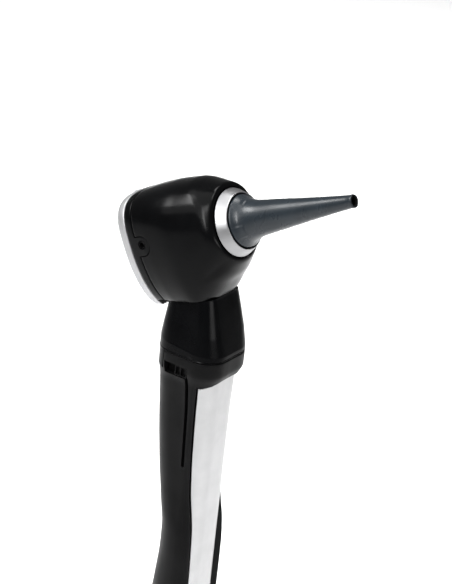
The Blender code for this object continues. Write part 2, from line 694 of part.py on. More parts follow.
def build_magnifier():
    stations = (RIM_REAR, RIM_REAR + 0.5, RIM_REAR + 1.5, RIM_FRONT - 0.4, RIM_FRONT)
    outer = [head_ring(s, e) for s, e in zip(stations, (0.5, 0.0, 0.0, 0.0, 0.3))]
    inner = [head_ring(RIM_FRONT, 1.9)]
    inner += [head_ring(s, RIM_WALL) for s in reversed(stations[:-1])]
    rim = loft("magnifier_frame", outer + inner, "alu", True)
    tab = loft("join_tab", [circle(head_pt(s, 0, PIN_V), AXIS, 2.0, 24)
                            for s in (RIM_REAR + 0.2, RIM_FRONT - 0.1)], "alu")
    carve(rim, [tab], "UNION")
    cuts = [plane_cutter("cut_rim", RIM_DROP, NECK_SLOPE, -30.0, 30.0, -20.0),
            cylinder("cut_pin2", head_pt(0, 0, PIN_V), AXIS, -40.0, -33.0, 1.0, count=20)]
    carve(rim, cuts)
    foot = plane_strip("join_foot")
    carve(rim, [foot], "UNION")
    set_origin(rim, head_pt(RIM_FRONT, 0, PIN_V))
    rings = []
    for s, e in ((-34.9, 2.9), (-34.7, 3.6), (-34.5, 6.0), (-34.4, 9.5)):
        rings.append(head_ring(s, e))
    for s, e in ((-36.6, 9.5), (-36.45, 6.0), (-36.1, 3.6), (-35.8, 2.9)):
        rings.append(head_ring(s, e))
    lens = loft("magnifier_lens", [rings[3], rings[2], rings[1], rings[0], rings[7], rings[6],
                                   rings[5], rings[4]], "clear")
    carve(lens, [cylinder("cut_lens_pin", head_pt(0, 0, PIN_V), AXIS, -40.0, -33.0, 2.4, count=24),
                 plane_cutter("cut_lens", -0.6, NECK_SLOPE, -30.0, 30.0, -20.0)])
    set_origin(lens, head_pt(RIM_FRONT, 0, PIN_V))
    head = RIM_REAR - GAP
    turn("magnifier_pin", [(head - 0.5, 1.1), (head - 0.25, 1.45), (head, 1.45), (head, 0.7),
                           (-33.0, 0.7)], "chrome", head_pt(0, 0, PIN_V), AXIS, 20, False)


def plane_strip(name):
    """Bottom bar of the lens rim along its trimmed edge."""
    z0 = NECK_TOP - RIM_DROP
    rings = []
    for depth in (0.02, 2.0):
        ring = []
        for s, y in ((RIM_REAR + 0.6, -8.0), (RIM_FRONT - 0.15, -8.0), (RIM_FRONT - 0.15, 8.0),
                     (RIM_REAR + 0.6, 8.0)):
            # walk down the viewing plane until the joint plane is reached
            base = head_pt(s, y, 0.0)
            v = (z0 + depth + NECK_SLOPE * base.x - base.z) / (UP.z - NECK_SLOPE * UP.x)
            ring.append(head_pt(s, y, v))
        rings.append(ring)
    bar = loft(name, rings, "alu")
    hull = loft("rim_hull", [head_ring(s, 0.05) for s in (RIM_REAR + 0.2, RIM_FRONT - 0.1)], "alu")
    return carve(bar, [hull], "INTERSECT")


def build_front():
    ring_profile("front_ring", [(0.0, RING_R_IN), (-0.25, 8.72), (-2.9, 10.2), (-RING_BEVEL, RING_R_OUT),
                                (-3.3, 10.1), (-3.3, 9.3), (-6.6, 9.3), (-6.6, 8.2), (-0.3, 8.2)],
                 "alu")
    ring_profile("speculum_seat", [(-0.6, 7.9), (-0.6, 6.3), (1.2, 5.6), (3.2, 5.1), (3.2, 4.65),
                                   (-6.2, 4.65), (-6.2, 7.9)], "black")
    ring_profile("light_ring", [(-6.0, 4.35), (2.9, 4.35), (2.9, 3.75), (-6.0, 3.75)], "clear", 32)
    outer = [(-0.15, 7.8), (0.2, 7.85), (0.6, 7.6), (1.2, 7.1), (2.2, 6.5), (4.1, 5.8), (6.5, 5.3),
             (13.0, 4.6), (21.5, 3.6), (29.6, 2.75), (38.0, 1.98), (39.1, TIP_R), (SPEC_LEN, 1.92)]
    inner = [(SPEC_LEN, 1.62), (38.0, TIP_BORE_R), (29.6, 2.25), (21.5, 3.1), (13.0, 4.05),
             (6.5, 4.8), (4.1, 5.2), (1.4, 6.0), (-0.15, 6.8)]
    ring_profile("speculum", outer + inner, "grey", 32)


def build_light():
    up = (0, 0, 1)
    z = SEAM_Z
    ring_at = head_pt(-8.0, 0, -4.6)
    turn("lamp_holder", [(z + 5.2, 4.6), (z + 9.4, 4.6), (z + 9.4, 2.5), (z + 10.6, 2.5)], "chrome",
         (0, 0, 0), up, 32, False)
    turn("lamp", [(z + 10.9, 1.4), (z + 11.9, 1.4), (z + 12.6, 1.1), (z + 12.9, 0.5)], "clear",
         (0, 0, 0), up, 20, False)
    start = Vector((0.0, 0.0, z + 13.3))
    c1 = Vector((0.3, 0.0, z + 24.0))
    c2 = head_pt(-14.0, 0, -11.5)
    path = []
    for k in range(13):
        f = k / 12
        path.append(start * (1 - f) ** 3 + c1 * 3 * f * (1 - f) ** 2 + c2 * 3 * f * f * (1 - f)
                    + ring_at * f ** 3)
    pipe("light_guide", path, 1.15, "clear", 8)


def build_neck():
    rings = []
    for rise, xf, xb, hy, r, slope in NECK_TABLE:
        ring = rounded(xf, -xb, hy, r, r, SEAM_Z + rise)
        for p in ring:
            p.z += slope * p.x
        rings.append(ring)
    neck = loft("neck_housing", rings, "black")
    tongue_rings = []
    for drop in (TONGUE_DROP, TONGUE_DROP - 0.4, 2.0, -2.0):
        w = COLLAR - (0.3 if drop == TONGUE_DROP else 0.0)
        tongue_rings.append(rounded(w, -w, w, COLLAR_R, COLLAR_R, SEAM_Z - drop))
    tongue = loft("join_tongue", tongue_rings, "black")
    inner = loft("cut_tongue_in", [rounded(10.14, -10.14, 10.14, 6.2, 6.2, SEAM_Z - d)
                                   for d in (TONGUE_DROP + 1.0, -0.3)], "black")
    front = box("cut_tongue_front", (TONGUE_X, -14.0, SEAM_Z - 10.0), (14.0, 14.0, SEAM_Z + 3.0),
                "black")
    carve(tongue, [inner, front])
    carve(neck, [tongue], "UNION")
    cuts = [plane_cutter("cut_top", GAP, NECK_SLOPE, -30.0, 30.0, 30.0),
            cylinder("cut_neck_bore", (0, 0, 0), (0, 0, 1), SEAM_Z + 4.6, SEAM_Z + 30.0,
                     NECK_BORE_R, count=36),
            cylinder("cut_neck_low", (0, 0, 0), (0, 0, 1), SEAM_Z - 3.0, SEAM_Z + 5.0, 5.4,
                     count=36)]
    carve(neck, cuts)
    turn("coupling_plug", [(SEAM_Z - 7.0, 4.9), (SEAM_Z - 6.7, PLUG_R), (SEAM_Z + 4.2, PLUG_R),
                           (SEAM_Z + 4.2, 4.1), (SEAM_Z - 7.0, 4.1)], "chrome", count=32)
    turn("contact_insulator", [(SEAM_Z - 6.8, 3.75), (SEAM_Z + 3.6, 3.75), (SEAM_Z + 3.6, 1.5),
                               (SEAM_Z - 6.8, 1.5)], "grey", count=24)
    turn("contact_pin", [(SEAM_Z - 8.2, 0.9), (SEAM_Z - 7.9, 1.15), (SEAM_Z + 4.5, 1.15)], "brass",
         (0, 0, 0), (0, 0, 1), 20, False)


def build_port():
    seat = head_pt(PORT_S, 0, PORT_V)
    turn("air_port", [(9.6, 1.05), (13.55, 1.05), (13.75, 0.95), (13.75, 0.5), (9.6, 0.5)], "grey",
         seat, (0, -1, 0), 20)


def main():
    clear_scene()
    build_chassis()
    panel_solid("grip_panel", 0.0, 0.0, "alu")
    build_clip()
    build_switch()
    build_power()
    build_cap()
    build_shell()
    build_rear_frame()
    build_magnifier()
    build_front()
    build_light()
    build_neck()
    build_port()


main()
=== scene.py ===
"""Looks of a pocket otoscope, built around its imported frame.

Lengths are in mm and turned into metres when a mesh is made. +Z runs up the
handle, +X is the way the speculum points, -Y is the side with the air port.
"""
import math

import bmesh
import bpy
import numpy as np
from mathutils import Matrix, Vector


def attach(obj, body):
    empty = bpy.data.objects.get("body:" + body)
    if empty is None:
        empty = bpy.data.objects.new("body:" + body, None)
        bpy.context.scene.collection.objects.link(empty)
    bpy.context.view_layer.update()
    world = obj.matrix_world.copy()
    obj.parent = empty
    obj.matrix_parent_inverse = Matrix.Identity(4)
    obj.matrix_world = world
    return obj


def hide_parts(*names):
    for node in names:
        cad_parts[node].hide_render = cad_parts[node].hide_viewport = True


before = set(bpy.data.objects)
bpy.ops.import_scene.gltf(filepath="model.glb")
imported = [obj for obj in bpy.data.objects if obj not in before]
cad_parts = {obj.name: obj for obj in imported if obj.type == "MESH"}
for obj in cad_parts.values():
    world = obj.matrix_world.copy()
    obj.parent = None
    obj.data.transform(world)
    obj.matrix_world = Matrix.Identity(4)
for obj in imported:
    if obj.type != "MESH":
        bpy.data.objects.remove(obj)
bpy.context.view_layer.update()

MM = 0.001                    # metres in one mm
GAP = 0.3                     # air left between neighbouring pieces

# ------------------------------------------------------------ sizes
# Overall arrangement
SEAM_Z = 116.0                # joint between handle and head
TILT = math.radians(26.0)     # the viewing axis rises towards the speculum
RING_X = 10.4                 # centre of the front ring, ahead of the handle axis
RING_Z = SEAM_Z + 44.5
COLLAR = 11.34                # half width of the square collar at the seam
COLLAR_R = 7.4

# Speculum, measured along the viewing axis
SPEC_LEN = 39.45
TIP_R = 1.98                  # outside radius of the tip's rolled edge
PAINTED_SHADE_BORE_R = 4.8                  # painted shade: the bore gets the black material where it is narrower than this

# Head, stations along the viewing axis
SHELL_FRONT = -3.4
SHELL_REAR = -31.0
SHELL_WALL = 1.9
MOUTH_R = 9.6                 # round opening behind the front ring
FACE_R = 11.4                 # cone round the ring: radius at the front, and its slopes
FACE_SLOPE = 0.72
ROOF_RISE = 0.7
ROOF_SLOPE = -0.3
CHIN_SLOPE = 0.6
CREASE = 0.25                 # half width and depth of the line where the cone starts
CREASE_DEPTH = 0.09
FRAME_FRONT = -31.3
FRAME_REAR = -33.9
RIM_FRONT = -34.2
RIM_REAR = -37.4
RIM_WALL = 2.3
RIM_DROP = 2.3                # the rim hangs this far below the head's joint plane
PIN_V = 13.2                  # the rim's pivot, above the viewing axis
PIN_BORE_R = 1.0
TAB_HALF = 2.9                # ear of the rear frame that carries the air port
TAB_TIP = -26.4
PORT_S = -29.2                # air port, along and above the viewing axis
PORT_V = 0.4

# Joint between head shell and neck: a plane that rises towards the front
NECK_SLOPE = 0.316
NECK_TOP = SEAM_Z + 17.8
DOWN = -20.0                  # how deep a cutting block reaches below that plane

# Handle; drops are measured down from the seam
CELL_X = 2.2                  # axis of the cells and of the end cap
CAP_R = 6.4
PANEL_T = 0.85
CLIP_TOP = 6.9
CLIP_END = 84.0
CLIP_HALF = 5.0
WAIST_DROP = 66.0             # below this drop the clip hangs straight
CLIP_PIN_X = -8.4
CLIP_PIN_DROP = 9.2
CLIP_T = 1.1
SLOT_WIDTH = 1.15
SLOT_TOP = 6.0
SLOT_END = 36.9
SLOT_X_TOP = 2.4
SLOT_X_LOW = 3.0
SLOT_FLOOR_Y = 7.6
WINDOW_FRONT_X = 2.9
WINDOW_BACK_X = -5.8
WINDOW_TOP = 3.0
TONGUE_X = -6.6               # the head's tongue fills the collar behind this x
TONGUE_DROP = 5.8
TONGUE_T = 1.2

AXIS = np.array([math.cos(TILT), 0.0, math.sin(TILT)])
UP = np.array([-math.sin(TILT), 0.0, math.cos(TILT)])
SIDE = np.array([0.0, 1.0, 0.0])
RING = np.array([RING_X, 0.0, RING_Z])

# drop below the seam, front x, back x, half width, front corner, back corner
HANDLE_TABLE = (
    (0.3, 11.1, 11.0, 11.1, 7.2, 7.2),
    (0.8, 11.45, 11.34, 11.45, 7.4, 7.4),
    (4.7, 11.45, 11.34, 11.4, 7.4, 7.4),
    (5.3, 11.3, 11.36, 11.25, 7.2, 7.4),
    (8.0, 9.95, 11.4, 10.4, 6.7, 7.6),
    (8.8, 9.75, 11.42, 10.2, 6.6, 7.7),
    (11.0, 9.7, 11.46, 9.95, 6.4, 7.8),
    (15.0, 9.7, 11.5, 9.55, 6.2, 8.0),
    (20.0, 9.7, 11.4, 9.25, 6.2, 8.2),
    (28.0, 9.7, 10.9, 9.05, 6.2, 8.3),
    (36.0, 9.7, 10.1, 8.9, 6.2, 8.3),
    (45.0, 9.7, 8.9, 8.9, 6.2, 8.3),
    (53.0, 9.7, 7.4, 9.5, 6.0, 8.7),
    (61.0, 9.7, 6.2, 10.6, 5.5, 10.3),
    (68.0, 9.7, 6.0, 11.0, 5.1, 10.5),
    (80.0, 9.75, 6.8, 11.2, 5.4, 10.4),
    (95.0, 9.9, 8.3, 11.2, 6.0, 9.6),
    (108.0, 10.3, 9.7, 11.0, 6.4, 8.6),
    (115.0, 10.6, 10.3, 10.8, 6.6, 8.0),
    (116.0, 10.0, 9.7, 10.2, 6.2, 7.6),
)
# drop, outer half width of the panel, x of its side edge
PANEL_TABLE = (
    (5.0, 9.5, 5.7),
    (12.0, 9.05, 5.6),
    (20.0, 8.6, 5.4),
    (30.0, 8.4, 5.5),
    (44.0, 8.3, 6.1),
    (60.0, 8.3, 7.5),
    (80.0, 8.3, 7.9),
    (102.0, 8.3, 7.9),
)
PANEL_X = 9.5
PANEL_CORNER = 6.0
PANEL_HALF = 8.3
PANEL_TOP_FRONT = 7.3
PANEL_TOP_SIDE = 9.6
PANEL_TOP_POWER = 3.0
PANEL_END_FRONT = 101.0
PANEL_END_SIDE = 98.0
# station, half width, top height, bottom depth, upper power, lower power, mid height
HEAD_TABLE = (
    (-38.2, 12.8, 14.8, 21.2, 2.8, 2.25, 2.6),
    (-34.2, 13.3, 15.2, 21.6, 2.8, 2.25, 2.6),
    (-31.0, 13.7, 15.4, 22.2, 2.75, 2.25, 2.5),
    (-26.0, 14.2, 15.7, 23.8, 2.6, 2.35, 2.0),
    (-20.0, 14.5, 15.8, 24.4, 2.35, 2.55, 1.2),
    (-15.0, 14.15, 15.55, 21.3, 2.2, 2.75, 0.6),
    (-10.0, 13.6, 15.25, 17.0, 2.1, 2.6, 0.2),
    (-7.4, 13.25, 15.0, 15.1, 2.05, 2.3, 0.0),
    (-5.3, 12.9, 14.7, 13.2, 2.0, 2.1, 0.0),
    (-3.4, 12.6, 14.4, 11.5, 2.0, 2.0, 0.0),
)
# distance from the seam, inset of the edge there
SEAM_EDGE = ((0.12, 0.2), (0.15, 0.1), (0.22, 0.03), (0.34, 0.0))
# rise above the seam, front x, back x, half width, corner, slope of the ring
NECK_TABLE = (
    (0.35, 11.1, 11.0, 11.1, 7.2, 0.0),
    (0.8, 11.45, 11.34, 11.45, 7.4, -0.01),
    (2.8, 11.45, 11.4, 11.45, 7.6, -0.09),
    (3.1, 11.36, 11.36, 11.36, 7.4, -0.09),
    (8.0, 9.9, 10.45, 10.5, 5.6, -0.03),
    (18.0, 6.75, 9.35, 8.75, 3.8, 0.2),
    (27.0, 5.6, 8.3, 7.6, 2.6, 0.3),
)


def head_pt(s, y, v):
    """A point s ahead of the front ring's mouth, y to the side, v above the viewing axis."""
    return RING + AXIS * s + SIDE * y + UP * v


# ------------------------------------------------------------ curves and sections
def lookup(table, x):
    """Monotone cubic interpolation of every column of a table."""
    t = np.array(table, dtype=float)
    xs = t[:, 0]
    x = min(max(x, xs[0]), xs[-1])
    i = int(min(max(np.searchsorted(xs, x, side="right") - 1, 0), len(xs) - 2))
    h = xs[i + 1] - xs[i]
    f = (x - xs[i]) / h
    secant = (t[1:] - t[:-1]) / (xs[1:] - xs[:-1])[:, None]

    def slope(k):
        if k == 0 or k == len(xs) - 1:
            return secant[min(k, len(secant) - 1)]
        a, b = secant[k - 1], secant[k]
        return np.where(a * b > 0, 2 * a * b / np.where(a + b == 0, 1, a + b), 0.0)

    f2, f3 = f * f, f * f * f
    out = ((2 * f3 - 3 * f2 + 1) * t[i] + (f3 - 2 * f2 + f) * h * slope(i)
           + (3 * f2 - 2 * f3) * t[i + 1] + (f3 - f2) * h * slope(i + 1))
    return out[1:]


def straight(table, x):
    """Straight-line interpolation of every column of a table."""
    t = np.array(table, dtype=float)
    return [float(np.interp(x, t[:, 0], t[:, k])) for k in range(1, t.shape[1])]


CORNER_STEPS = 12
FLAT_POINTS = 3


def rounded(xf, xb, hy, rf, rb, z):
    """Rounded rectangle at height z, with a few points on each straight side."""
    pts = []
    corners = ((xf - rf, hy - rf, rf, 0), (xb + rb, hy - rb, rb, 90),
               (xb + rb, rb - hy, rb, 180), (xf - rf, rf - hy, rf, 270))
    for cx, cy, r, start in corners:
        arc = []
        for k in range(CORNER_STEPS + 1):
            ang = math.radians(start + 90.0 * k / CORNER_STEPS)
            arc.append((cx + r * math.cos(ang), cy + r * math.sin(ang)))
        if pts:
            pts += between(pts[-1], arc[0], FLAT_POINTS)
        pts += arc
    pts += between(pts[-1], pts[0], FLAT_POINTS)
    return np.array([(x, y, z) for x, y in pts])


def between(a, b, count):
    """Evenly spaced points strictly between two points."""
    return [(a[0] + (b[0] - a[0]) * k / (count + 1), a[1] + (b[1] - a[1]) * k / (count + 1))
            for k in range(1, count + 1)]


def handle_ring(drop, inset=0.0):
    """Section of the handle at a drop below the seam, shrunk by inset."""
    xf, xb, hy, rf, rb = lookup(HANDLE_TABLE, drop)
    return rounded(xf - inset, inset - xb, hy - inset, max(rf - inset, 0.5),
                   max(rb - inset, 0.5), SEAM_Z - drop)


HEAD_STEPS = 128


def head_ring(s, inset=0.0):
    """Section of the head across the viewing axis, shrunk by inset.

    An oval with two powers, one above and one below its widest line, held
    inside the cone that runs back from the front ring.
    """
    w, top, bottom, n_up, n_low, mid = lookup(HEAD_TABLE, s)
    pts = []
    for k in range(HEAD_STEPS):
        ang = 2 * math.pi * k / HEAD_STEPS
        c, sn = math.cos(ang), math.sin(ang)
        power = n_up if sn >= 0 else n_low
        reach = (top - mid) if sn >= 0 else (bottom + mid)
        y = math.copysign(abs(c) ** (2 / power), c) * (w - inset)
        v = mid + math.copysign(abs(sn) ** (2 / power), sn) * (reach - inset)
        away = math.hypot(y, v)
        roof = smooth_step(0.3, 0.95, v / away)
        chin = smooth_step(0.75, 1.0, -v / away)
        slope = FACE_SLOPE + ROOF_SLOPE * roof + CHIN_SLOPE * chin
        cone = FACE_R + ROOF_RISE * roof - inset + (SHELL_FRONT - s) * slope
        both = away + cone
        line = math.exp(-((away - cone) / CREASE) ** 2) * (1.0 - chin)
        keep = ((both - math.sqrt((away - cone) ** 2 + CREASE ** 2)) / 2
                - CREASE_DEPTH * line) / away
        pts.append(head_pt(s, y * keep, v * keep))
    return np.array(pts)


def smooth_step(a, b, x):
    """Rises smoothly from 0 at a to 1 at b."""
    f = min(max((x - a) / (b - a), 0.0), 1.0)
    return f * f * (3.0 - 2.0 * f)


def circle(centre, normal, radius, count):
    """Points round a circle that faces along normal."""
    n = Vector(normal).normalized()
    a = Vector((0, 1, 0) if abs(n.y) < 0.9 else (1, 0, 0))
    a = (a - n * a.dot(n)).normalized()
    b = n.cross(a)
    ang = np.arange(count) * 2 * math.pi / count
    return (np.array(centre) + radius * np.outer(np.cos(ang), a)
            + radius * np.outer(np.sin(ang), b))


def spread(knots, step):
    """Values running through knots with about this step between them."""
    out = [knots[0]]
    for a, b in zip(knots[:-1], knots[1:]):
        count = max(1, int(round(abs(b - a) / step)))
        out += [a + (b - a) * k / count for k in range(1, count + 1)]
    return out


# ------------------------------------------------------------ meshes
SHARP = 35.0                  # degrees between faces that still look smooth
WELD = 0.0005


def make_object(name, bm, angle=SHARP):
    """Turn a mesh drawn in mm into an object in metres."""
    bmesh.ops.remove_doubles(bm, verts=bm.verts, dist=WELD)
    bmesh.ops.recalc_face_normals(bm, faces=bm.faces)
    bmesh.ops.scale(bm, vec=(MM, MM, MM), verts=bm.verts)
    mesh = bpy.data.meshes.new(name)
    bm.to_mesh(mesh)
    bm.free()
    shade(mesh, angle)
    obj = bpy.data.objects.new(name, mesh)
    bpy.context.scene.collection.objects.link(obj)
    return obj


def shade(mesh, angle=SHARP):
    """Smooth shading, with edges steeper than angle kept sharp."""
    mesh.polygons.foreach_set("use_smooth", [True] * len(mesh.polygons))
    mesh.set_sharp_from_angle(angle=math.radians(angle))


def skin(name, rows, wrap=False, strip=False, angle=SHARP):
    """Skin a row of closed rings; wrap joins the last ring to the first.

    strip: each ring is a thin C whose second half runs back along the first.
    """
    bm = bmesh.new()
    verts = [[bm.verts.new(p) for p in row] for row in rows]
    count = len(verts[0])
    pairs = list(zip(verts[:-1], verts[1:]))
    if wrap:
        pairs.append((verts[-1], verts[0]))
    for low, high in pairs:
        for i in range(count):
            j = (i + 1) % count
            bm.faces.new((low[i], low[j], high[j], high[i]))
    if not wrap:
        for row in (verts[0], verts[-1]):
            if strip:
                for i in range(count // 2 - 1):
                    bm.faces.new((row[i], row[i + 1], row[count - 2 - i], row[count - 1 - i]))
            else:
                bm.faces.new(row)
    return make_object(name, bm, angle)


def turn(name, profile, origin, axis, count=96, closed=True):
    """Spin a profile of (height, radius) about an axis; closed joins its two ends."""
    o = np.array(origin, dtype=float)
    n = np.array(axis, dtype=float)
    rows = [circle(o + n * h, axis, r, count) for h, r in profile]
    return skin(name, rows, closed)


SOFT_STEPS = 3
NEARLY_STRAIGHT = -0.985      # cosine between the two sides of a corner left as it is


def soften(profile, radius):
    """Round every corner of a closed profile of points."""
    pts = [np.array(p, dtype=float) for p in profile]
    out = []
    for i, p in enumerate(pts):
        before, after = pts[i - 1] - p, pts[(i + 1) % len(pts)] - p
        la, lb = np.linalg.norm(before), np.linalg.norm(after)
        cosine = float(np.dot(before, after) / max(la * lb, 1e-9))
        if cosine < NEARLY_STRAIGHT:
            out.append(tuple(p))
            continue
        r = min(radius, la * 0.45, lb * 0.45)
        a, b = p + before / la * r, p + after / lb * r
        for k in range(SOFT_STEPS + 1):
            f = k / SOFT_STEPS
            out.append(tuple(a * (1 - f) ** 2 + p * 2 * f * (1 - f) + b * f * f))
    return out


def box(name, lo, hi):
    """Block between two corners."""
    bm = bmesh.new()
    bmesh.ops.create_cube(bm, size=1.0)
    for vert in bm.verts:
        for k in range(3):
            vert.co[k] = lo[k] if vert.co[k] < 0 else hi[k]
    return make_object(name, bm)


def cylinder(name, origin, axis, start, end, radius, count=48):
    """Rod along an axis, from start to end as seen from origin."""
    return turn(name, [(start, radius), (end, radius)], origin, axis, count, False)


def carve(obj, cutters, operation="DIFFERENCE"):
    """Apply exact booleans and drop the cutters."""
    for cutter in cutters:
        mod = obj.modifiers.new("cut", "BOOLEAN")
        mod.operation = operation
        mod.solver = "EXACT"
        mod.object = cutter
    bake(obj)
    for cutter in cutters:
        bpy.data.objects.remove(cutter, do_unlink=True)
    return obj


def bake(obj):
    """Apply every modifier of an object."""
    bpy.context.view_layer.update()
    graph = bpy.context.evaluated_depsgraph_get()
    mesh = bpy.data.meshes.new_from_object(obj.evaluated_get(graph))
    obj.modifiers.clear()
    old = obj.data
    obj.data = mesh
    bpy.data.meshes.remove(old)
    mesh.materials.clear()
    shade(mesh)


def edge_round(obj, width, angle=40.0, segments=2):
    """Small rounding along the sharp edges."""
    mod = obj.modifiers.new("edge", "BEVEL")
    mod.width = width * MM
    mod.segments = segments
    mod.limit_method = "ANGLE"
    mod.angle_limit = math.radians(angle)
    mod.use_clamp_overlap = True
    mod.harden_normals = False
    return obj


def piece(obj, material, body, *nodes):
    """Give a finished object its material, its body and the CAD nodes it stands for."""
    obj.data.materials.clear()
    obj.data.materials.append(material)
    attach(obj, body)
    if nodes:
        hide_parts(*nodes)


# ------------------------------------------------------------ materials
class Nodes:
    """Short helper for building one Principled material."""

    def __init__(self, name, color, roughness, metallic=0.0, **inputs):
        self.mat = bpy.data.materials.new(name)
        self.mat.use_nodes = True
        self.tree = self.mat.node_tree
        self.shader = self.tree.nodes["Principled BSDF"]
        self.set("Base Color", (color[0], color[1], color[2], 1.0))
        self.set("Roughness", roughness)
        self.set("Metallic", metallic)
        for key, value in inputs.items():
            self.set(key.replace("_", " "), value)
        self.coord = self.tree.nodes.new("ShaderNodeTexCoord")

    def set(self, socket, value):
        self.shader.inputs[socket].default_value = value

    def link(self, a, b):
        self.tree.links.new(a, b)

    def mapped(self, scale):
        """Object coordinates stretched along each axis."""
        node = self.tree.nodes.new("ShaderNodeMapping")
        node.inputs["Scale"].default_value = scale
        self.link(self.coord.outputs["Object"], node.inputs["Vector"])
        return node.outputs["Vector"]

    def noise(self, per_mm, detail=3.0, vector=None, rough=0.55, distortion=0.0):
        node = self.tree.nodes.new("ShaderNodeTexNoise")
        node.inputs["Scale"].default_value = per_mm / MM
        node.inputs["Detail"].default_value = detail
        node.inputs["Roughness"].default_value = rough
        node.inputs["Distortion"].default_value = distortion
        self.link(vector if vector else self.coord.outputs["Object"], node.inputs["Vector"])
        return node.outputs["Fac"]

    def ramp(self, value, stops):
        node = self.tree.nodes.new("ShaderNodeValToRGB")
        ramp = node.color_ramp
        while len(ramp.elements) < len(stops):
            ramp.elements.new(0.5)
        for element, (at, color) in zip(ramp.elements, stops):
            element.position = at
            if not hasattr(color, "__len__"):
                color = (color, color, color)
            element.color = (color[0], color[1], color[2], 1.0)
        self.link(value, node.inputs["Fac"])
        return node.outputs["Color"]

    def mix(self, factor, a, b):
        """Blend two colours, each a socket or a plain colour, by a factor socket."""
        node = self.tree.nodes.new("ShaderNodeMix")
        node.data_type = "RGBA"
        self.link(factor, node.inputs[0])
        for socket, value in zip((node.inputs[6], node.inputs[7]), (a, b)):
            if hasattr(value, "is_linked"):
                self.link(value, socket)
            else:
                socket.default_value = (value[0], value[1], value[2], 1.0)
        return node.outputs[2]

    def bump(self, height, strength, distance_mm):
        node = self.tree.nodes.new("ShaderNodeBump")
        node.inputs["Strength"].default_value = strength
        node.inputs["Distance"].default_value = distance_mm * MM
        self.link(height, node.inputs["Height"])
        return node.outputs["Normal"]

    def edges(self):
        """1 on outward edges, 0 elsewhere."""
        geo = self.tree.nodes.new("ShaderNodeNewGeometry")
        return self.ramp(geo.outputs["Pointiness"], ((0.53, 0.0), (0.62, 1.0)))

    def to(self, socket, value):
        self.link(value, self.shader.inputs[socket])


def plastic(name, color, roughness, grain=0.0, grain_per_mm=4.0, wear=0.02, **inputs):
    """Moulded plastic: fine texture, patchy sheen and slightly rubbed edges."""
    n = Nodes(name, color, roughness, **inputs)
    patch = n.noise(0.12, 4.0)
    dark = tuple(c * 0.82 for c in color)
    light = tuple(c * 1.18 + 0.0006 for c in color)
    body = n.ramp(patch, ((0.3, dark), (0.7, light)))
    rubbed = tuple(c + wear for c in color)
    n.to("Base Color", n.mix(n.edges(), body, rubbed) if wear else body)
    smear = n.noise(0.3, 2.0, n.mapped((1.0, 1.0, 0.35)), 0.5, 0.2)
    span = 0.10 * roughness + 0.015
    n.to("Roughness", n.ramp(smear, ((0.3, roughness - span), (0.72, roughness + span))))
    if grain:
        n.to("Normal", n.bump(n.noise(grain_per_mm, 2.0), grain, 0.03))
    return n.mat


SHEEN_SPAN = 0.04             # how far a metal's roughness swings either way


def metal(name, color, roughness, along, per_mm, strength):
    """Metal with a bead-blasted texture, or a brushed one when along is uneven."""
    n = Nodes(name, color, roughness, 1.0)
    lines = n.noise(per_mm, 4.0, n.mapped(along), 0.6)
    patch = n.noise(0.15, 3.0)
    shade_low = tuple(c * 0.93 for c in color)
    n.to("Base Color", n.mix(n.ramp(patch, ((0.35, 0.0), (0.65, 1.0))), shade_low, color))
    n.to("Roughness", n.ramp(lines, ((0.25, roughness - SHEEN_SPAN),
                                     (0.75, roughness + SHEEN_SPAN))))
    n.to("Normal", n.bump(lines, strength, 0.02))
    return n.mat


def clear(name, color, roughness, ior):
    """Clear plastic or glass with a faint haze."""
    n = Nodes(name, color, roughness, IOR=ior, Transmission_Weight=1.0)
    haze = n.noise(0.8, 3.0)
    n.to("Roughness", n.ramp(haze, ((0.3, roughness), (0.8, roughness + 0.05))))
    return n.mat


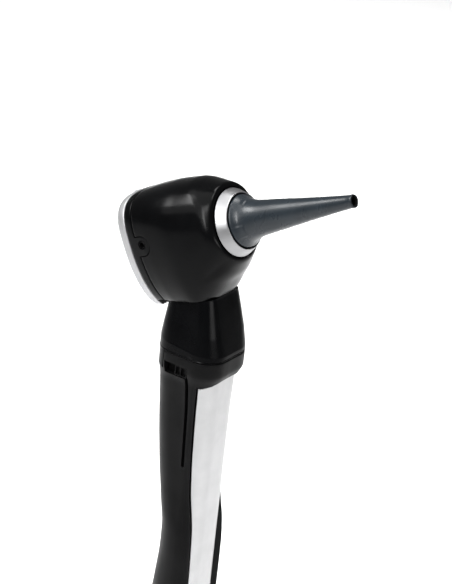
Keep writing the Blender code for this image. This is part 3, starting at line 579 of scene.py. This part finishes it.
# The floor has to be white while the object stays dark, so the lights are strong and these
# black plastics are far darker and duller than real ones.
DIM = {"Specular_IOR_Level": 0.08}
M = {
    "shell": plastic("head_black", (0.0012, 0.0013, 0.0015), 0.19, 0.03, 1.5, 0.001, **DIM),
    "frame": plastic("frame_black", (0.0012, 0.0013, 0.0015), 0.24, 0.03, 1.5, 0.001, **DIM),
    "neck": plastic("neck_black", (0.0012, 0.0013, 0.0016), 0.24, 0.02, 1.5, 0.001,
                    Specular_IOR_Level=0.05),
    "handle": plastic("handle_black", (0.0019, 0.0019, 0.0021), 0.42, 0.08, 2.5, 0.002, **DIM),
    "clip": plastic("clip_black", (0.0019, 0.0019, 0.0021), 0.40, 0.08, 2.5, 0.006, **DIM),
    # the knob is darker than the handle plastic: painted shade of the window recess it sits in
    "knob": plastic("knob_black_painted_shade", (0.001, 0.001, 0.0012), 0.35, 0.05, 2.0, 0.001, **DIM),
    # black of the seat, also used as painted shade in the speculum's bore and on the switch board
    "dark": plastic("black_and_painted_shade", (0.0025, 0.0025, 0.0025), 0.6, 0.1, 4.0, 0.0, **DIM),
    "spec": plastic("speculum_grey", (0.012, 0.0162, 0.0205), 0.30, 0.0, 1.0, 0.0,
                    Specular_IOR_Level=0.3),
    "port": plastic("port_black", (0.002, 0.002, 0.0022), 0.3, 0.03, 6.0, 0.003, **DIM),
    "nylon": plastic("nylon_white", (0.35, 0.345, 0.32), 0.45, 0.1, 4.0, 0.0),
    "rubber": plastic("rubber_black", (0.006, 0.006, 0.006), 0.7, 0.2, 4.0, 0.0),
    "board": plastic("board_green", (0.015, 0.11, 0.045), 0.4, 0.1, 4.0, 0.0),
    "cell": plastic("cell_sleeve", (0.06, 0.09, 0.2), 0.3, 0.03, 4.0, 0.02),
    "ring": metal("ring_silver", (0.32, 0.32, 0.326), 0.40, (1, 1, 1), 2.0, 0.06),
    "rim": metal("rim_silver", (0.47, 0.47, 0.478), 0.55, (1, 1, 1), 3.0, 0.08),
    "panel": metal("panel_alu", (0.47, 0.47, 0.474), 0.42, (1, 1, 0.05), 2.5, 0.05),
    "chrome": metal("plated_steel", (0.5, 0.5, 0.51), 0.18, (1, 1, 6), 1.5, 0.05),
    "steel": metal("ground_steel", (0.4, 0.4, 0.41), 0.3, (1, 6, 1), 1.5, 0.1),
    "brass": metal("bare_brass", (0.5, 0.35, 0.15), 0.28, (1, 1, 4), 1.5, 0.08),
    "lens": clear("lens_clear", (0.97, 0.99, 0.985), 0.015, 1.52),
    "light": clear("light_pipe", (0.96, 0.98, 0.98), 0.12, 1.49),
}


# ------------------------------------------------------------ the head
def plane_block(name, drop_below, height):
    """Block from the sloping joint plane, lowered by drop_below, up by a signed height."""
    z0 = NECK_TOP - drop_below
    rows = []
    for y in (-20.0, 20.0):
        rows.append(np.array([(x, y, z0 + NECK_SLOPE * x + dz)
                              for x, dz in ((-30.0, 0.0), (30.0, 0.0), (30.0, height),
                                            (-30.0, height))]))
    return skin(name, rows)


def tab_block(name, grow, depth_in, depth_out):
    """The rounded ear on the -Y side that carries the air port."""
    r = TAB_HALF + grow
    tip = TAB_TIP + grow
    back = FRAME_FRONT - 1.0
    pts = [(back, r)]
    steps = 32
    for k in range(steps + 1):
        ang = math.radians(90.0 - 180.0 * k / steps)
        pts.append((tip - r + r * math.cos(ang), r * math.sin(ang)))
    pts.append((back, -r))
    rows = [np.array([head_pt(s, -depth, v) for s, v in pts]) for depth in (depth_in, depth_out)]
    return skin(name, rows)


def build_shell():
    """Head shell: a hollow skin, with a floor that has a way through it for the lamp."""
    stations = [SHELL_REAR, SHELL_REAR + 0.06, SHELL_REAR + 0.2]
    insets = [0.2, 0.06, 0.0]
    for s in spread([SHELL_REAR + 0.6, -8.6, SHELL_FRONT - 0.6], 0.4):
        stations.append(s)
        insets.append(0.0)
    for back, inset in ((0.3, 0.08), (0.12, 0.22), (0.03, 0.42), (0.0, 0.62)):
        stations.append(SHELL_FRONT - back)
        insets.append(inset)
    rows = [head_ring(s, e) for s, e in zip(stations, insets)]
    step = 2 * math.pi / HEAD_STEPS
    recess = SHELL_FRONT - 0.35
    for s, wide in ((SHELL_FRONT, 10.7), (recess, 10.5), (recess, MOUTH_R), (-5.6, MOUTH_R)):
        rows.append(np.array([head_pt(s, wide * math.cos(step * k), wide * math.sin(step * k))
                              for k in range(HEAD_STEPS)]))
    for s, inset in ((-7.0, 2.6), (-9.0, 2.0), (-13.0, SHELL_WALL), (-20.0, SHELL_WALL),
                     (-26.0, SHELL_WALL), (SHELL_REAR, SHELL_WALL)):
        rows.append(head_ring(s, inset))
    shell = skin("shell_skin", rows, True)
    floor_rows = []
    for rise in (2.2, 0.15):
        ring = rounded(7.0, -8.0, 9.3, 3.0, 3.0, 0.0)
        ring[:, 2] = NECK_TOP + rise + NECK_SLOPE * ring[:, 0]
        floor_rows.append(ring)
    floor = skin("floor", floor_rows)
    hull = skin("hull", [head_ring(s, 0.6) for s in spread([SHELL_REAR, SHELL_FRONT - 0.4], 1.5)])
    way = cylinder("way", (0.4, 0, 0), (0, 0, 1), SEAM_Z + 8.0, SEAM_Z + 29.0, 3.0, 32)
    carve(floor, [way])
    carve(floor, [hull], "INTERSECT")
    carve(shell, [plane_block("under", 0.0, DOWN)])
    carve(shell, [floor], "UNION")
    carve(shell, [tab_block("tab", GAP, 10.5, 18.0)])
    piece(edge_round(shell, 0.12), M["shell"], "head", "head_shell")


def build_rear_frame():
    """Frame behind the shell, the ear that reaches into the shell's side, and the air port."""
    stations = (FRAME_REAR, FRAME_REAR + 0.07, FRAME_REAR + 0.25, -33.0, -32.0,
                FRAME_FRONT - 0.2, FRAME_FRONT - 0.06, FRAME_FRONT)
    insets = (0.25, 0.07, 0.0, 0.0, 0.0, 0.0, 0.06, 0.2)
    rows = [head_ring(s, e) for s, e in zip(stations, insets)]
    rows += [head_ring(s, 2.2) for s in reversed(stations)]
    body = skin("rear_bezel", rows, True)
    ear = tab_block("ear", 0.0, 10.6, 13.9)
    outside = skin("outside", [head_ring(s) for s in spread([-33.0, -24.0], 0.5)])
    hollow = skin("hollow", [head_ring(s, 1.6) for s in spread([-36.0, -22.0], 1.0)])
    carve(ear, [outside], "INTERSECT")
    carve(ear, [hollow])
    lip = tab_block("lip", 0.9, 10.0, 13.9)
    under = skin("under", [head_ring(s, SHELL_WALL + 0.2) for s in spread([-33.0, -24.0], 0.5)])
    hollow = skin("hollow", [head_ring(s, 2.9) for s in spread([-36.0, -22.0], 1.0)])
    carve(lip, [under], "INTERSECT")
    carve(lip, [hollow])
    carve(ear, [lip], "UNION")
    carve(body, [ear], "UNION")
    seat = head_pt(PORT_S, 0, PORT_V)
    cuts = [plane_block("under", 0.0, DOWN),
            cylinder("port", seat, (0, -1, 0), 9.0, 18.0, 1.35, 48),
            cylinder("pin", head_pt(0, 0, PIN_V), AXIS, -35.0, -32.4, PIN_BORE_R, 32)]
    carve(body, cuts)
    piece(edge_round(body, 0.12), M["frame"], "head", "rear_frame")
    profile = [(9.6, 1.05), (13.55, 1.05), (13.7, 1.02), (13.75, 0.95), (13.73, 0.88),
               (13.6, 0.82), (11.6, 0.8)]
    tube = turn("port_tube", profile, seat, (0, -1, 0), 48, False)
    piece(tube, M["port"], "head", "air_port")


def build_rim():
    """Silver rim of the lens, hung on the rivet's boss."""
    stations = (RIM_REAR, RIM_REAR + 0.12, RIM_REAR + 0.4, RIM_REAR + 0.9, -35.6,
                RIM_FRONT - 0.5, RIM_FRONT - 0.2, RIM_FRONT - 0.05, RIM_FRONT)
    insets = (0.85, 0.45, 0.14, 0.0, 0.0, 0.0, 0.03, 0.14, 0.3)
    rows = [head_ring(s, e) for s, e in zip(stations, insets)]
    inner = ((RIM_FRONT, 1.9), (RIM_FRONT - 0.4, RIM_WALL), (RIM_REAR + 0.5, RIM_WALL),
             (RIM_REAR + 0.12, 2.2), (RIM_REAR, 1.95))
    rows += [head_ring(s, e) for s, e in inner]
    rim = skin("rim_silver", rows, True)
    boss = skin("boss", [circle(head_pt(s, 0, PIN_V), AXIS, 2.0, 48)
                         for s in (RIM_REAR + 0.2, RIM_FRONT - 0.1)])
    carve(rim, [boss], "UNION")
    carve(rim, [plane_block("under", RIM_DROP, DOWN),
                cylinder("pin", head_pt(0, 0, PIN_V), AXIS, -40.0, -33.0, PIN_BORE_R, 32)])
    carve(rim, [rim_foot()], "UNION")
    piece(edge_round(rim, 0.15), M["rim"], "magnifier", "magnifier_frame")


def build_lens():
    """Lens plate, domed on both faces and held in the rim's groove."""
    front = ((-34.4, 10.0), (-34.45, 7.0), (-34.58, 4.6), (-34.72, 3.4), (-34.9, 2.9))
    rear = ((-35.8, 2.9), (-36.0, 3.4), (-36.3, 4.6), (-36.52, 7.0), (-36.6, 10.0))
    lens = skin("lens_plate", [head_ring(s, e) for s, e in front + rear])
    carve(lens, [cylinder("pin", head_pt(0, 0, PIN_V), AXIS, -40.0, -33.0, 2.4, 48),
                 plane_block("under", -0.6, DOWN)])
    piece(edge_round(lens, 0.08), M["lens"], "magnifier", "magnifier_lens")


def build_rivet():
    """Pivot rivet of the rim, with a cross recess in its head."""
    head = RIM_REAR - GAP
    profile = [(head - 0.5, 0.55), (head - 0.47, 0.95), (head - 0.36, 1.22), (head - 0.2, 1.4),
               (head, 1.45), (head, 0.7), (-33.0, 0.7)]
    pin = turn("rivet", profile, head_pt(0, 0, PIN_V), AXIS, 48, False)
    cross = [box("bar", (-0.16, -0.9, -0.3), (0.16, 0.9, 0.3)),
             box("bar", (-0.9, -0.16, -0.3), (0.9, 0.16, 0.3))]
    place = (Matrix.Translation(Vector(head_pt(head - 0.45, 0, PIN_V) * MM))
             @ Matrix.Rotation(math.pi / 2 - TILT, 4, "Y"))
    for bar in cross:
        bar.matrix_world = place
    carve(pin, cross)
    piece(pin, M["steel"], "head", "magnifier_pin")


def rim_foot():
    """Bottom bar of the lens rim along its trimmed edge."""
    z0 = NECK_TOP - RIM_DROP
    rows = []
    for depth in (0.02, 2.0):
        row = []
        for s, y in ((RIM_REAR + 0.6, -8.0), (RIM_FRONT - 0.15, -8.0), (RIM_FRONT - 0.15, 8.0),
                     (RIM_REAR + 0.6, 8.0)):
            base = head_pt(s, y, 0.0)
            v = (z0 + depth + NECK_SLOPE * base[0] - base[2]) / (UP[2] - NECK_SLOPE * UP[0])
            row.append(head_pt(s, y, v))
        rows.append(np.array(row))
    bar = skin("foot", rows)
    hull = skin("rim_hull", [head_ring(s, 0.05) for s in (RIM_REAR + 0.2, RIM_FRONT - 0.1)])
    return carve(bar, [hull], "INTERSECT")


def build_front():
    """Silver ring, the seat the speculum pushes on to, and the lit end of the light guide."""
    profile = soften([(0.0, 8.5), (-0.25, 8.72), (-2.9, 10.2), (-3.13, 10.3), (-3.3, 10.1),
                      (-3.3, 9.3), (-6.6, 9.3), (-6.6, 8.2), (-0.3, 8.2)], 0.12)
    ring = turn("ring_silver", profile, RING, AXIS, 160)
    piece(ring, M["ring"], "head", "front_ring")
    seat = turn("seat_black", soften([(-0.6, 7.9), (-0.6, 6.3), (1.2, 5.6), (3.2, 5.1),
                                      (3.2, 4.65), (-6.2, 4.65), (-6.2, 7.9)], 0.15),
                RING, AXIS, 96)
    piece(seat, M["dark"], "head", "speculum_seat")
    pipe_ring = turn("light_end", soften([(-6.0, 4.35), (2.9, 4.35), (2.9, 3.75), (-6.0, 3.75)],
                                         0.12), RING, AXIS, 96)
    piece(pipe_ring, M["light"], "head", "light_ring")


# station, radius: outside from base to tip, then inside from tip to base
SPEC_OUT = ((-0.15, 7.8), (0.0, 7.85), (0.3, 7.78), (0.7, 7.45), (1.2, 7.05), (2.2, 6.45),
            (4.1, 5.8), (6.5, 5.3), (13.0, 4.6), (21.5, 3.6), (29.6, 2.75), (36.5, 2.08),
            (38.0, 1.97), (38.9, 2.0), (39.2, TIP_R), (39.38, 1.94), (SPEC_LEN, 1.85))
SPEC_IN = ((SPEC_LEN, 1.5), (39.3, 1.42), (38.0, 1.42), (29.6, 2.25), (21.5, 3.1), (13.0, 4.05),
           (6.5, 4.8), (4.1, 5.2), (1.4, 6.0), (0.2, 6.7), (-0.15, 6.85))


def build_speculum():
    """Throw-away speculum in grey plastic; painted shade makes its narrow bore black."""
    stations = spread([-0.15, 0.0, 0.3, 0.7, 1.2, 2.2, 4.1], 0.16)
    stations += spread([4.1, 13.0, 38.0], 0.9)[1:] + [38.5, 38.9, 39.05, 39.2, 39.3, 39.38,
                                                     SPEC_LEN]
    count = 144
    rows = []
    for s in stations:
        radius = lookup(SPEC_OUT, s)[0]
        ring = circle(RING + AXIS * s, AXIS, 1.0, count)
        centre = RING + AXIS * s
        for k in range(count):
            ang = 360.0 * k / count
            ring[k] = centre + (ring[k] - centre) * (radius + spec_relief(s, ang))
        rows.append(ring)
    for s, r in SPEC_IN:
        rows.append(circle(RING + AXIS * s, AXIS, r, count))
    cone = skin("speculum_cone", rows, True, angle=50.0)
    piece(cone, M["spec"], "speculum", "speculum")
    # painted shade: the inward faces of the narrow bore get the black material
    cone.data.materials.append(M["dark"])
    axis = Vector(AXIS)
    for face in cone.data.polygons:
        arm = face.center / MM - Vector(RING)
        arm -= axis * arm.dot(axis)
        if face.normal.dot(arm) < 0.0 and arm.length < PAINTED_SHADE_BORE_R:
            face.material_index = 1


def spec_relief(s, ang):
    """Height of the four raised bars round the speculum's base, at an angle in degrees."""
    fade = smooth_step(0.15, 0.4, s) * (1.0 - smooth_step(3.0, 3.5, s))
    height, half, blend = 0.16, 17.0, 1.5
    out = 0.0
    for at in (20.0, 110.0, 200.0, 290.0):
        away = abs((ang - at + 180.0) % 360.0 - 180.0)
        out += height * (1.0 - smooth_step(half - blend, half + blend, away))
    return out * fade


def build_neck():
    """Neck above the square collar, with the tongue that fills the collar's back."""
    rows = []
    for rise, inset in SEAM_EDGE:
        half = COLLAR + 0.1 - inset
        rows.append(rounded(half, -half, half, COLLAR_R, COLLAR_R, SEAM_Z + rise))
    rises = [0.6, 0.8, 1.6, 2.4, 2.7, 2.8, 2.95, 3.1, 3.2, 3.4] + spread([3.8, 27.0], 0.6)
    for rise in rises:
        xf, xb, hy, r, slope = straight(NECK_TABLE, rise)
        row = rounded(xf, -xb, hy, r, r, SEAM_Z + rise)
        row[:, 2] += slope * row[:, 0]
        rows.append(row)
    neck = skin("neck_skin", rows)
    rows = []
    for drop in (TONGUE_DROP, TONGUE_DROP - 0.1, TONGUE_DROP - 0.3, 2.0, -2.0):
        half = COLLAR - (0.25 if drop == TONGUE_DROP else 0.0)
        rows.append(rounded(half, -half, half, COLLAR_R, COLLAR_R, SEAM_Z - drop))
    tongue = skin("tongue", rows)
    inside = COLLAR - TONGUE_T
    inside_r = COLLAR_R - TONGUE_T
    inner = skin("inner", [rounded(inside, -inside, inside, inside_r, inside_r, SEAM_Z - drop)
                           for drop in (TONGUE_DROP + 1.0, -0.3)])
    front = box("front", (TONGUE_X, -14.0, SEAM_Z - 10.0), (14.0, 14.0, SEAM_Z + 3.0))
    carve(tongue, [inner, front])
    carve(neck, [tongue], "UNION")
    carve(neck, [plane_block("top", GAP, 30.0),
                 cylinder("bore", (0, 0, 0), (0, 0, 1), SEAM_Z + 4.6, SEAM_Z + 30.0, 5.2, 64),
                 cylinder("low", (0, 0, 0), (0, 0, 1), SEAM_Z - 3.0, SEAM_Z + 5.0, 5.4, 64)])
    piece(edge_round(neck, 0.12), M["neck"], "head", "neck_housing")


# ------------------------------------------------------------ the handle
PANEL_STEPS = 16


def panel_path(drop, offset, edge_shift):
    """Outline of the panel's outside, pushed out by offset, from -Y edge to +Y edge."""
    hy, edge_x = lookup(PANEL_TABLE, drop)
    cx = PANEL_X - PANEL_CORNER
    cy = hy - PANEL_CORNER
    r = PANEL_CORNER + offset
    start = math.acos(min(max((edge_x + edge_shift - cx) / PANEL_CORNER, -1.0), 1.0))
    pts = []
    for k in range(PANEL_STEPS + 1):
        ang = -start * (1 - k / PANEL_STEPS)
        pts.append((cx + r * math.cos(ang), -cy + r * math.sin(ang)))
    pts += between(pts[-1], (cx + r, cy), 5)
    for k in range(PANEL_STEPS + 1):
        ang = start * k / PANEL_STEPS
        pts.append((cx + r * math.cos(ang), cy + r * math.sin(ang)))
    return pts


def panel_solid(name, grow, outer):
    """C-shaped strip around the handle's front; grow widens it into a cutter."""
    rows = []
    steps = 90
    for k in range(steps + 1):
        f = k / steps
        base = PANEL_TOP_SIDE + f * (PANEL_END_SIDE - PANEL_TOP_SIDE)
        outside = panel_path(base, outer, -grow)
        inside = panel_path(base, -PANEL_T - grow, -grow)
        row = []
        for px, py in outside + inside[::-1]:
            w = min(abs(py) / PANEL_HALF, 1.0) ** PANEL_TOP_POWER
            top = PANEL_TOP_FRONT + w * (PANEL_TOP_SIDE - PANEL_TOP_FRONT) - grow
            end = PANEL_END_FRONT + w * (PANEL_END_SIDE - PANEL_END_FRONT) + grow
            row.append((px, py, SEAM_Z - (top + f * (end - top))))
        rows.append(np.array(row))
    return skin(name, rows, strip=True)


def back_x(drop, y):
    """The handle's back surface at a height and a distance from the middle plane."""
    _, xb, hy, _, rb = lookup(HANDLE_TABLE, drop)
    reach = max(abs(y) - (hy - rb), 0.0)
    return rb - xb - math.sqrt(max(rb * rb - reach * reach, 0.0))


BLADE_ACROSS = 20
BLADE_TIP = 3.5               # half length of the swelling at the clip's end


def blade(name, start, end, half, inner, outer, count, taper=0.0, bump=0.0):
    """Strip on the handle's back; inner and outer are depths from its outside."""
    rows = []
    for k in range(count + 1):
        f = k / count
        drop = start + (end - start) * f
        wide = half - taper * f
        tip = max(0.0, 1.0 - abs(drop - (end - BLADE_TIP)) / BLADE_TIP)
        tip = bump * tip * tip * (3.0 - 2.0 * tip)
        out_row, in_row = [], []
        for m in range(BLADE_ACROSS + 1):
            y = wide * (2.0 * m / BLADE_ACROSS - 1.0)
            x = back_x(min(drop, WAIST_DROP), y)
            out_row.append((x - outer - tip, y, SEAM_Z - drop))
            in_row.append((x + inner, y, SEAM_Z - drop))
        rows.append(np.array(out_row + in_row[::-1]))
    return skin(name, rows, strip=True)


def slot_block(side):
    """Cutter of the thin slot with a round lower end, on the side given by its sign."""
    top = SEAM_Z - SLOT_TOP
    low = SEAM_Z - SLOT_END
    half = SLOT_WIDTH / 2
    pts = [(SLOT_X_TOP - half, top), (SLOT_X_TOP + half, top)]
    steps = 16
    for k in range(steps + 1):
        ang = math.pi * k / steps
        pts.append((SLOT_X_LOW + half * math.cos(ang), low - half * math.sin(ang)))
    rows = [np.array([(x, side * y, z) for x, z in pts]) for y in (SLOT_FLOOR_Y, 14.0)]
    return skin("slot", rows)


def tongue_block():
    """Cutter for the part of the collar's back that the head's tongue takes up."""
    outer = box("tongue", (-14.0, -14.0, SEAM_Z - TONGUE_DROP - GAP),
                (TONGUE_X + GAP, 14.0, SEAM_Z + 1.0))
    depth = TONGUE_T + GAP
    half = COLLAR - depth
    corner = COLLAR_R - depth
    core = skin("core", [rounded(half, -half, half, corner, corner, SEAM_Z - d)
                         for d in (9.0, -3.0)])
    return carve(outer, [core])


def build_chassis():
    """Handle casing with its battery bore, collar socket, panel bed, clip bed, slots and window."""
    drops = spread([0.8, 4.7, 5.3, 8.0, 8.8, 11.0, 45.0, 114.0], 1.1)
    drops += [114.6, 115.0, 115.3, 115.6, 115.85, 116.0]
    rows = []
    for drop, inset in SEAM_EDGE:
        row = handle_ring(0.8, inset)
        row[:, 2] = SEAM_Z - drop
        rows.append(row)
    body = skin("chassis_skin", rows + [handle_ring(d) for d in drops])
    cell = (CELL_X, 0, 0)
    up = (0, 0, 1)
    bore_r = 5.55
    lug_r = 7.7
    cap_way_r = CAP_R + GAP
    cuts = [
        turn("socket", [(SEAM_Z - 13.0, 4.4), (SEAM_Z - 7.6, 4.4), (SEAM_Z - 7.6, 6.6),
                        (SEAM_Z + 1.0, 6.6)], (0, 0, 0), up, 71, False),
        turn("bore", [(-1.0, cap_way_r), (2.9, cap_way_r), (2.9, lug_r), (4.35, lug_r),
                      (4.35, bore_r), (SEAM_Z - 12.6, bore_r)], cell, up, 64, False),
        panel_solid("panel_cut", GAP, 4.0),
        blade("clip_cut", CLIP_TOP - GAP, CLIP_END + 1.5, CLIP_HALF + 0.4, CLIP_T + GAP, 9.0, 60),
        slot_block(-1.0),
        slot_block(1.0),
        box("strip", (1.2, 3.0, 4.6), (3.2, 6.6, 101.0)),
        box("lug_way", (CELL_X - 1.6, -lug_r, -1.0), (CELL_X + 1.6, lug_r, 3.2)),
        box("hinge_bay", (-12.0, -3.0, SEAM_Z - 11.4), (-6.8, 3.0, SEAM_Z - 7.75)),
        cylinder("pin", (CLIP_PIN_X, 0, SEAM_Z - CLIP_PIN_DROP), (0, 1, 0), -5.4, 5.4, 1.0, 32),
        box("window", (WINDOW_BACK_X, -14.0, SEAM_Z - 7.0),
            (WINDOW_FRONT_X, -8.9, SEAM_Z - WINDOW_TOP)),
        box("window_deep", (WINDOW_BACK_X - 0.6, -9.1, SEAM_Z - 7.3),
            (WINDOW_FRONT_X + 0.5, -7.5, SEAM_Z - WINDOW_TOP + 0.5)),
        tongue_block(),
    ]
    carve(body, cuts)
    piece(edge_round(body, 0.12), M["handle"], "handle", "handle_chassis")


def build_grip():
    """Aluminium panel laid into the handle's front."""
    panel = panel_solid("panel_skin", 0.0, 0.0)
    piece(edge_round(panel, 0.22, 50.0, 3), M["panel"], "handle", "grip_panel")


def build_clip():
    """Pocket clip with the lug that its pin goes through."""
    clip = blade("clip_skin", CLIP_TOP, CLIP_END, CLIP_HALF, CLIP_T, 0.0, 90, 1.2, 0.9)
    pin_z = SEAM_Z - CLIP_PIN_DROP
    lug = box("lug", (-10.6, -2.6, pin_z - 1.6), (-7.15, 2.6, pin_z + 1.15))
    carve(clip, [lug], "UNION")
    carve(clip, [cylinder("pin", (CLIP_PIN_X, 0, pin_z), (0, 1, 0), -4.0, 4.0, 0.8, 32)])
    piece(edge_round(clip, 0.25, 50.0, 3), M["clip"], "clip", "pocket_clip")


def build_switch():
    """Thumb slider with two hollows, on a base wider than its window; its darker plastic is painted
    shade.
    """
    z = SEAM_Z
    knob = box("slider_knob", (-1.9, -10.9, z - 6.5), (2.5, -8.7, z - WINDOW_TOP - GAP))
    base = box("base", (-2.4, -8.8, z - 6.8), (2.9, -8.35, z - WINDOW_TOP + 0.2))
    carve(knob, [base], "UNION")
    hollows = [box("hollow", (x0, -12.0, z - 6.2), (x1, -10.0, z - WINDOW_TOP - GAP - 0.3))
               for x0, x1 in ((-1.5, 0.0), (0.35, 2.15))]
    carve(knob, hollows)
    piece(edge_round(knob, 0.1), M["knob"], "switch", "switch_slider")


def build_cap():
    """End cap with two bayonet lugs and a coin slot."""
    profile = [(0.0, 5.7), (0.05, 5.95), (0.2, 6.2), (0.4, CAP_R), (1.3, CAP_R), (1.3, 5.4),
               (2.5, 5.4), (2.5, 6.3), (4.0, 6.3)]
    cap = turn("cap_skin", profile, (CELL_X, 0, 0), (0, 0, 1), 96, False)
    lugs = [box("lug", (CELL_X + x0, -1.3, 3.2), (CELL_X + x1, 1.3, 3.95))
            for x0, x1 in ((5.0, 7.35), (-7.35, -5.0))]
    carve(cap, lugs, "UNION")
    carve(cap, [box("coin", (CELL_X - 0.8, -5.2, -1.0), (CELL_X + 0.8, 5.2, 0.9))])
    piece(edge_round(cap, 0.12), M["handle"], "cap", "end_cap")


# ------------------------------------------------------------ what the CAD keeps showing
# switch_board gets the black material rather than a board colour: painted shade of the window it
# sits behind
KEPT = {
    "clip_pin": "steel", "switch_board": "dark", "battery_lower": "cell", "battery_upper": "cell",
    "upper_contact": "brass", "contact_bush": "nylon", "socket_collar": "chrome",
    "contact_strip": "brass", "end_cap_seal": "rubber", "end_cap_contact": "brass",
    "battery_spring": "steel", "lamp_holder": "chrome", "lamp": "light", "light_guide": "light",
    "coupling_plug": "chrome", "contact_insulator": "nylon", "contact_pin": "brass",
}


def dress_cad():
    """Put these finishes on the CAD pieces that stay visible; the switch board's black is painted
    shade.
    """
    for node, finish in KEPT.items():
        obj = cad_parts[node]
        for slot in obj.material_slots:
            slot.material = M[finish]


# ------------------------------------------------------------ studio
def look_matrix(azimuth, elevation, roll, place):
    """Camera matrix from angles in degrees and a place in metres."""
    a, e, r = (math.radians(v) for v in (azimuth, elevation, roll))
    back = Vector((math.sin(a) * math.cos(e), -math.cos(a) * math.cos(e), math.sin(e)))
    right = Vector((math.cos(a), math.sin(a), 0.0))
    up = back.cross(right)
    x = right * math.cos(r) + up * math.sin(r)
    y = back.cross(x)
    return Matrix(((x.x, y.x, back.x, place[0]), (x.y, y.y, back.y, place[1]),
                   (x.z, y.z, back.z, place[2]), (0, 0, 0, 1)))


# The photo's viewpoint, estimated: angles in degrees, place in metres
CAMERA_TURN = 32.70
CAMERA_RISE = 24.10
CAMERA_ROLL = 6.10
CAMERA_PLACE = (0.32826, -0.50140, 0.40267)
CAMERA_LENS = 135.0


def add_camera():
    data = bpy.data.cameras.new("camera")
    data.lens = CAMERA_LENS
    data.sensor_width = 36.0
    data.clip_start = 0.01
    data.clip_end = 20.0
    cam = bpy.data.objects.new("camera", data)
    bpy.context.scene.collection.objects.link(cam)
    cam.matrix_world = look_matrix(CAMERA_TURN, CAMERA_RISE, CAMERA_ROLL, CAMERA_PLACE)
    bpy.context.scene.camera = cam


# name, direction from the aim, long axis, distance in m, size in m, watts, aim in m, spread
HEAD_AIM = (0.0, 0.0, 0.15)
OVERHEAD = (0.0, 0.0, 1.0)
ALONG_X = (1.0, 0.0, 0.0)
LIGHTS = (
    ("key", (-0.648, -0.336, 0.683), (0.85, -0.03, 0.42), 0.73, (0.16, 0.33), 3.4,
     HEAD_AIM, 180.0),
    ("fill", (-0.25, -0.45, 0.86), ALONG_X, 0.7, (0.9, 0.9), 4.6, HEAD_AIM, 180.0),
    ("front", (0.07, -0.80, 0.60), (-0.33, 0.46, 0.66), 0.7, (0.68, 0.10), 0.8,
     HEAD_AIM, 70.0),
    ("side", (0.96, -0.27, 0.05), (0.0, 0.0, 1.0), 0.7, (0.14, 0.40), 0.26,
     (0.0, 0.0, 0.12), 70.0),
    ("back", OVERHEAD, ALONG_X, 1.0, (0.35, 0.35), 1.9, (-0.20, 0.42, 0.0), 75.0),
    ("floor_right", OVERHEAD, ALONG_X, 0.7, (0.25, 0.25), 0.5, (0.15, 0.10, 0.0), 75.0),
)
WORLD_STRENGTH = 0.2
FLOOR_HALF = 4000.0


def add_light(name, toward, long_axis, distance, size, power, aim, spread):
    """Softbox seen from its aim in a given direction, at a distance in metres."""
    data = bpy.data.lights.new(name, "AREA")
    data.shape = "RECTANGLE"
    data.size, data.size_y = size
    data.energy = power
    data.spread = math.radians(spread)
    light = bpy.data.objects.new(name, data)
    bpy.context.scene.collection.objects.link(light)
    z = Vector(toward).normalized()
    x = Vector(long_axis)
    x = (x - z * x.dot(z)).normalized()
    y = z.cross(x)
    place = Vector(aim) + z * distance
    light.matrix_world = Matrix(((x.x, y.x, z.x, place.x), (x.y, y.y, z.y, place.y),
                                 (x.z, y.z, z.z, place.z), (0, 0, 0, 1)))


def add_floor():
    """Pale paper floor."""
    bm = bmesh.new()
    bmesh.ops.create_grid(bm, x_segments=2, y_segments=2, size=FLOOR_HALF)
    floor = make_object("floor", bm)
    n = Nodes("floor_paper", (0.92, 0.92, 0.92), 0.9)
    tone = n.noise(0.01, 2.0)
    n.to("Base Color", n.ramp(tone, ((0.3, 0.90), (0.7, 0.93))))
    floor.data.materials.append(n.mat)


def add_studio():
    """White world, floor and softboxes."""
    scene = bpy.context.scene
    scene.view_settings.view_transform = "Standard"
    world = bpy.data.worlds.new("studio")
    scene.world = world
    world.use_nodes = True
    background = world.node_tree.nodes["Background"]
    background.inputs["Color"].default_value = (1.0, 1.0, 1.0, 1.0)
    background.inputs["Strength"].default_value = WORLD_STRENGTH
    add_floor()
    for light in LIGHTS:
        add_light(*light)


build_shell()
build_rear_frame()
build_rim()
build_lens()
build_rivet()
build_front()
build_speculum()
build_neck()
build_chassis()
build_grip()
build_clip()
build_switch()
build_cap()
dress_cad()
add_camera()
add_studio()
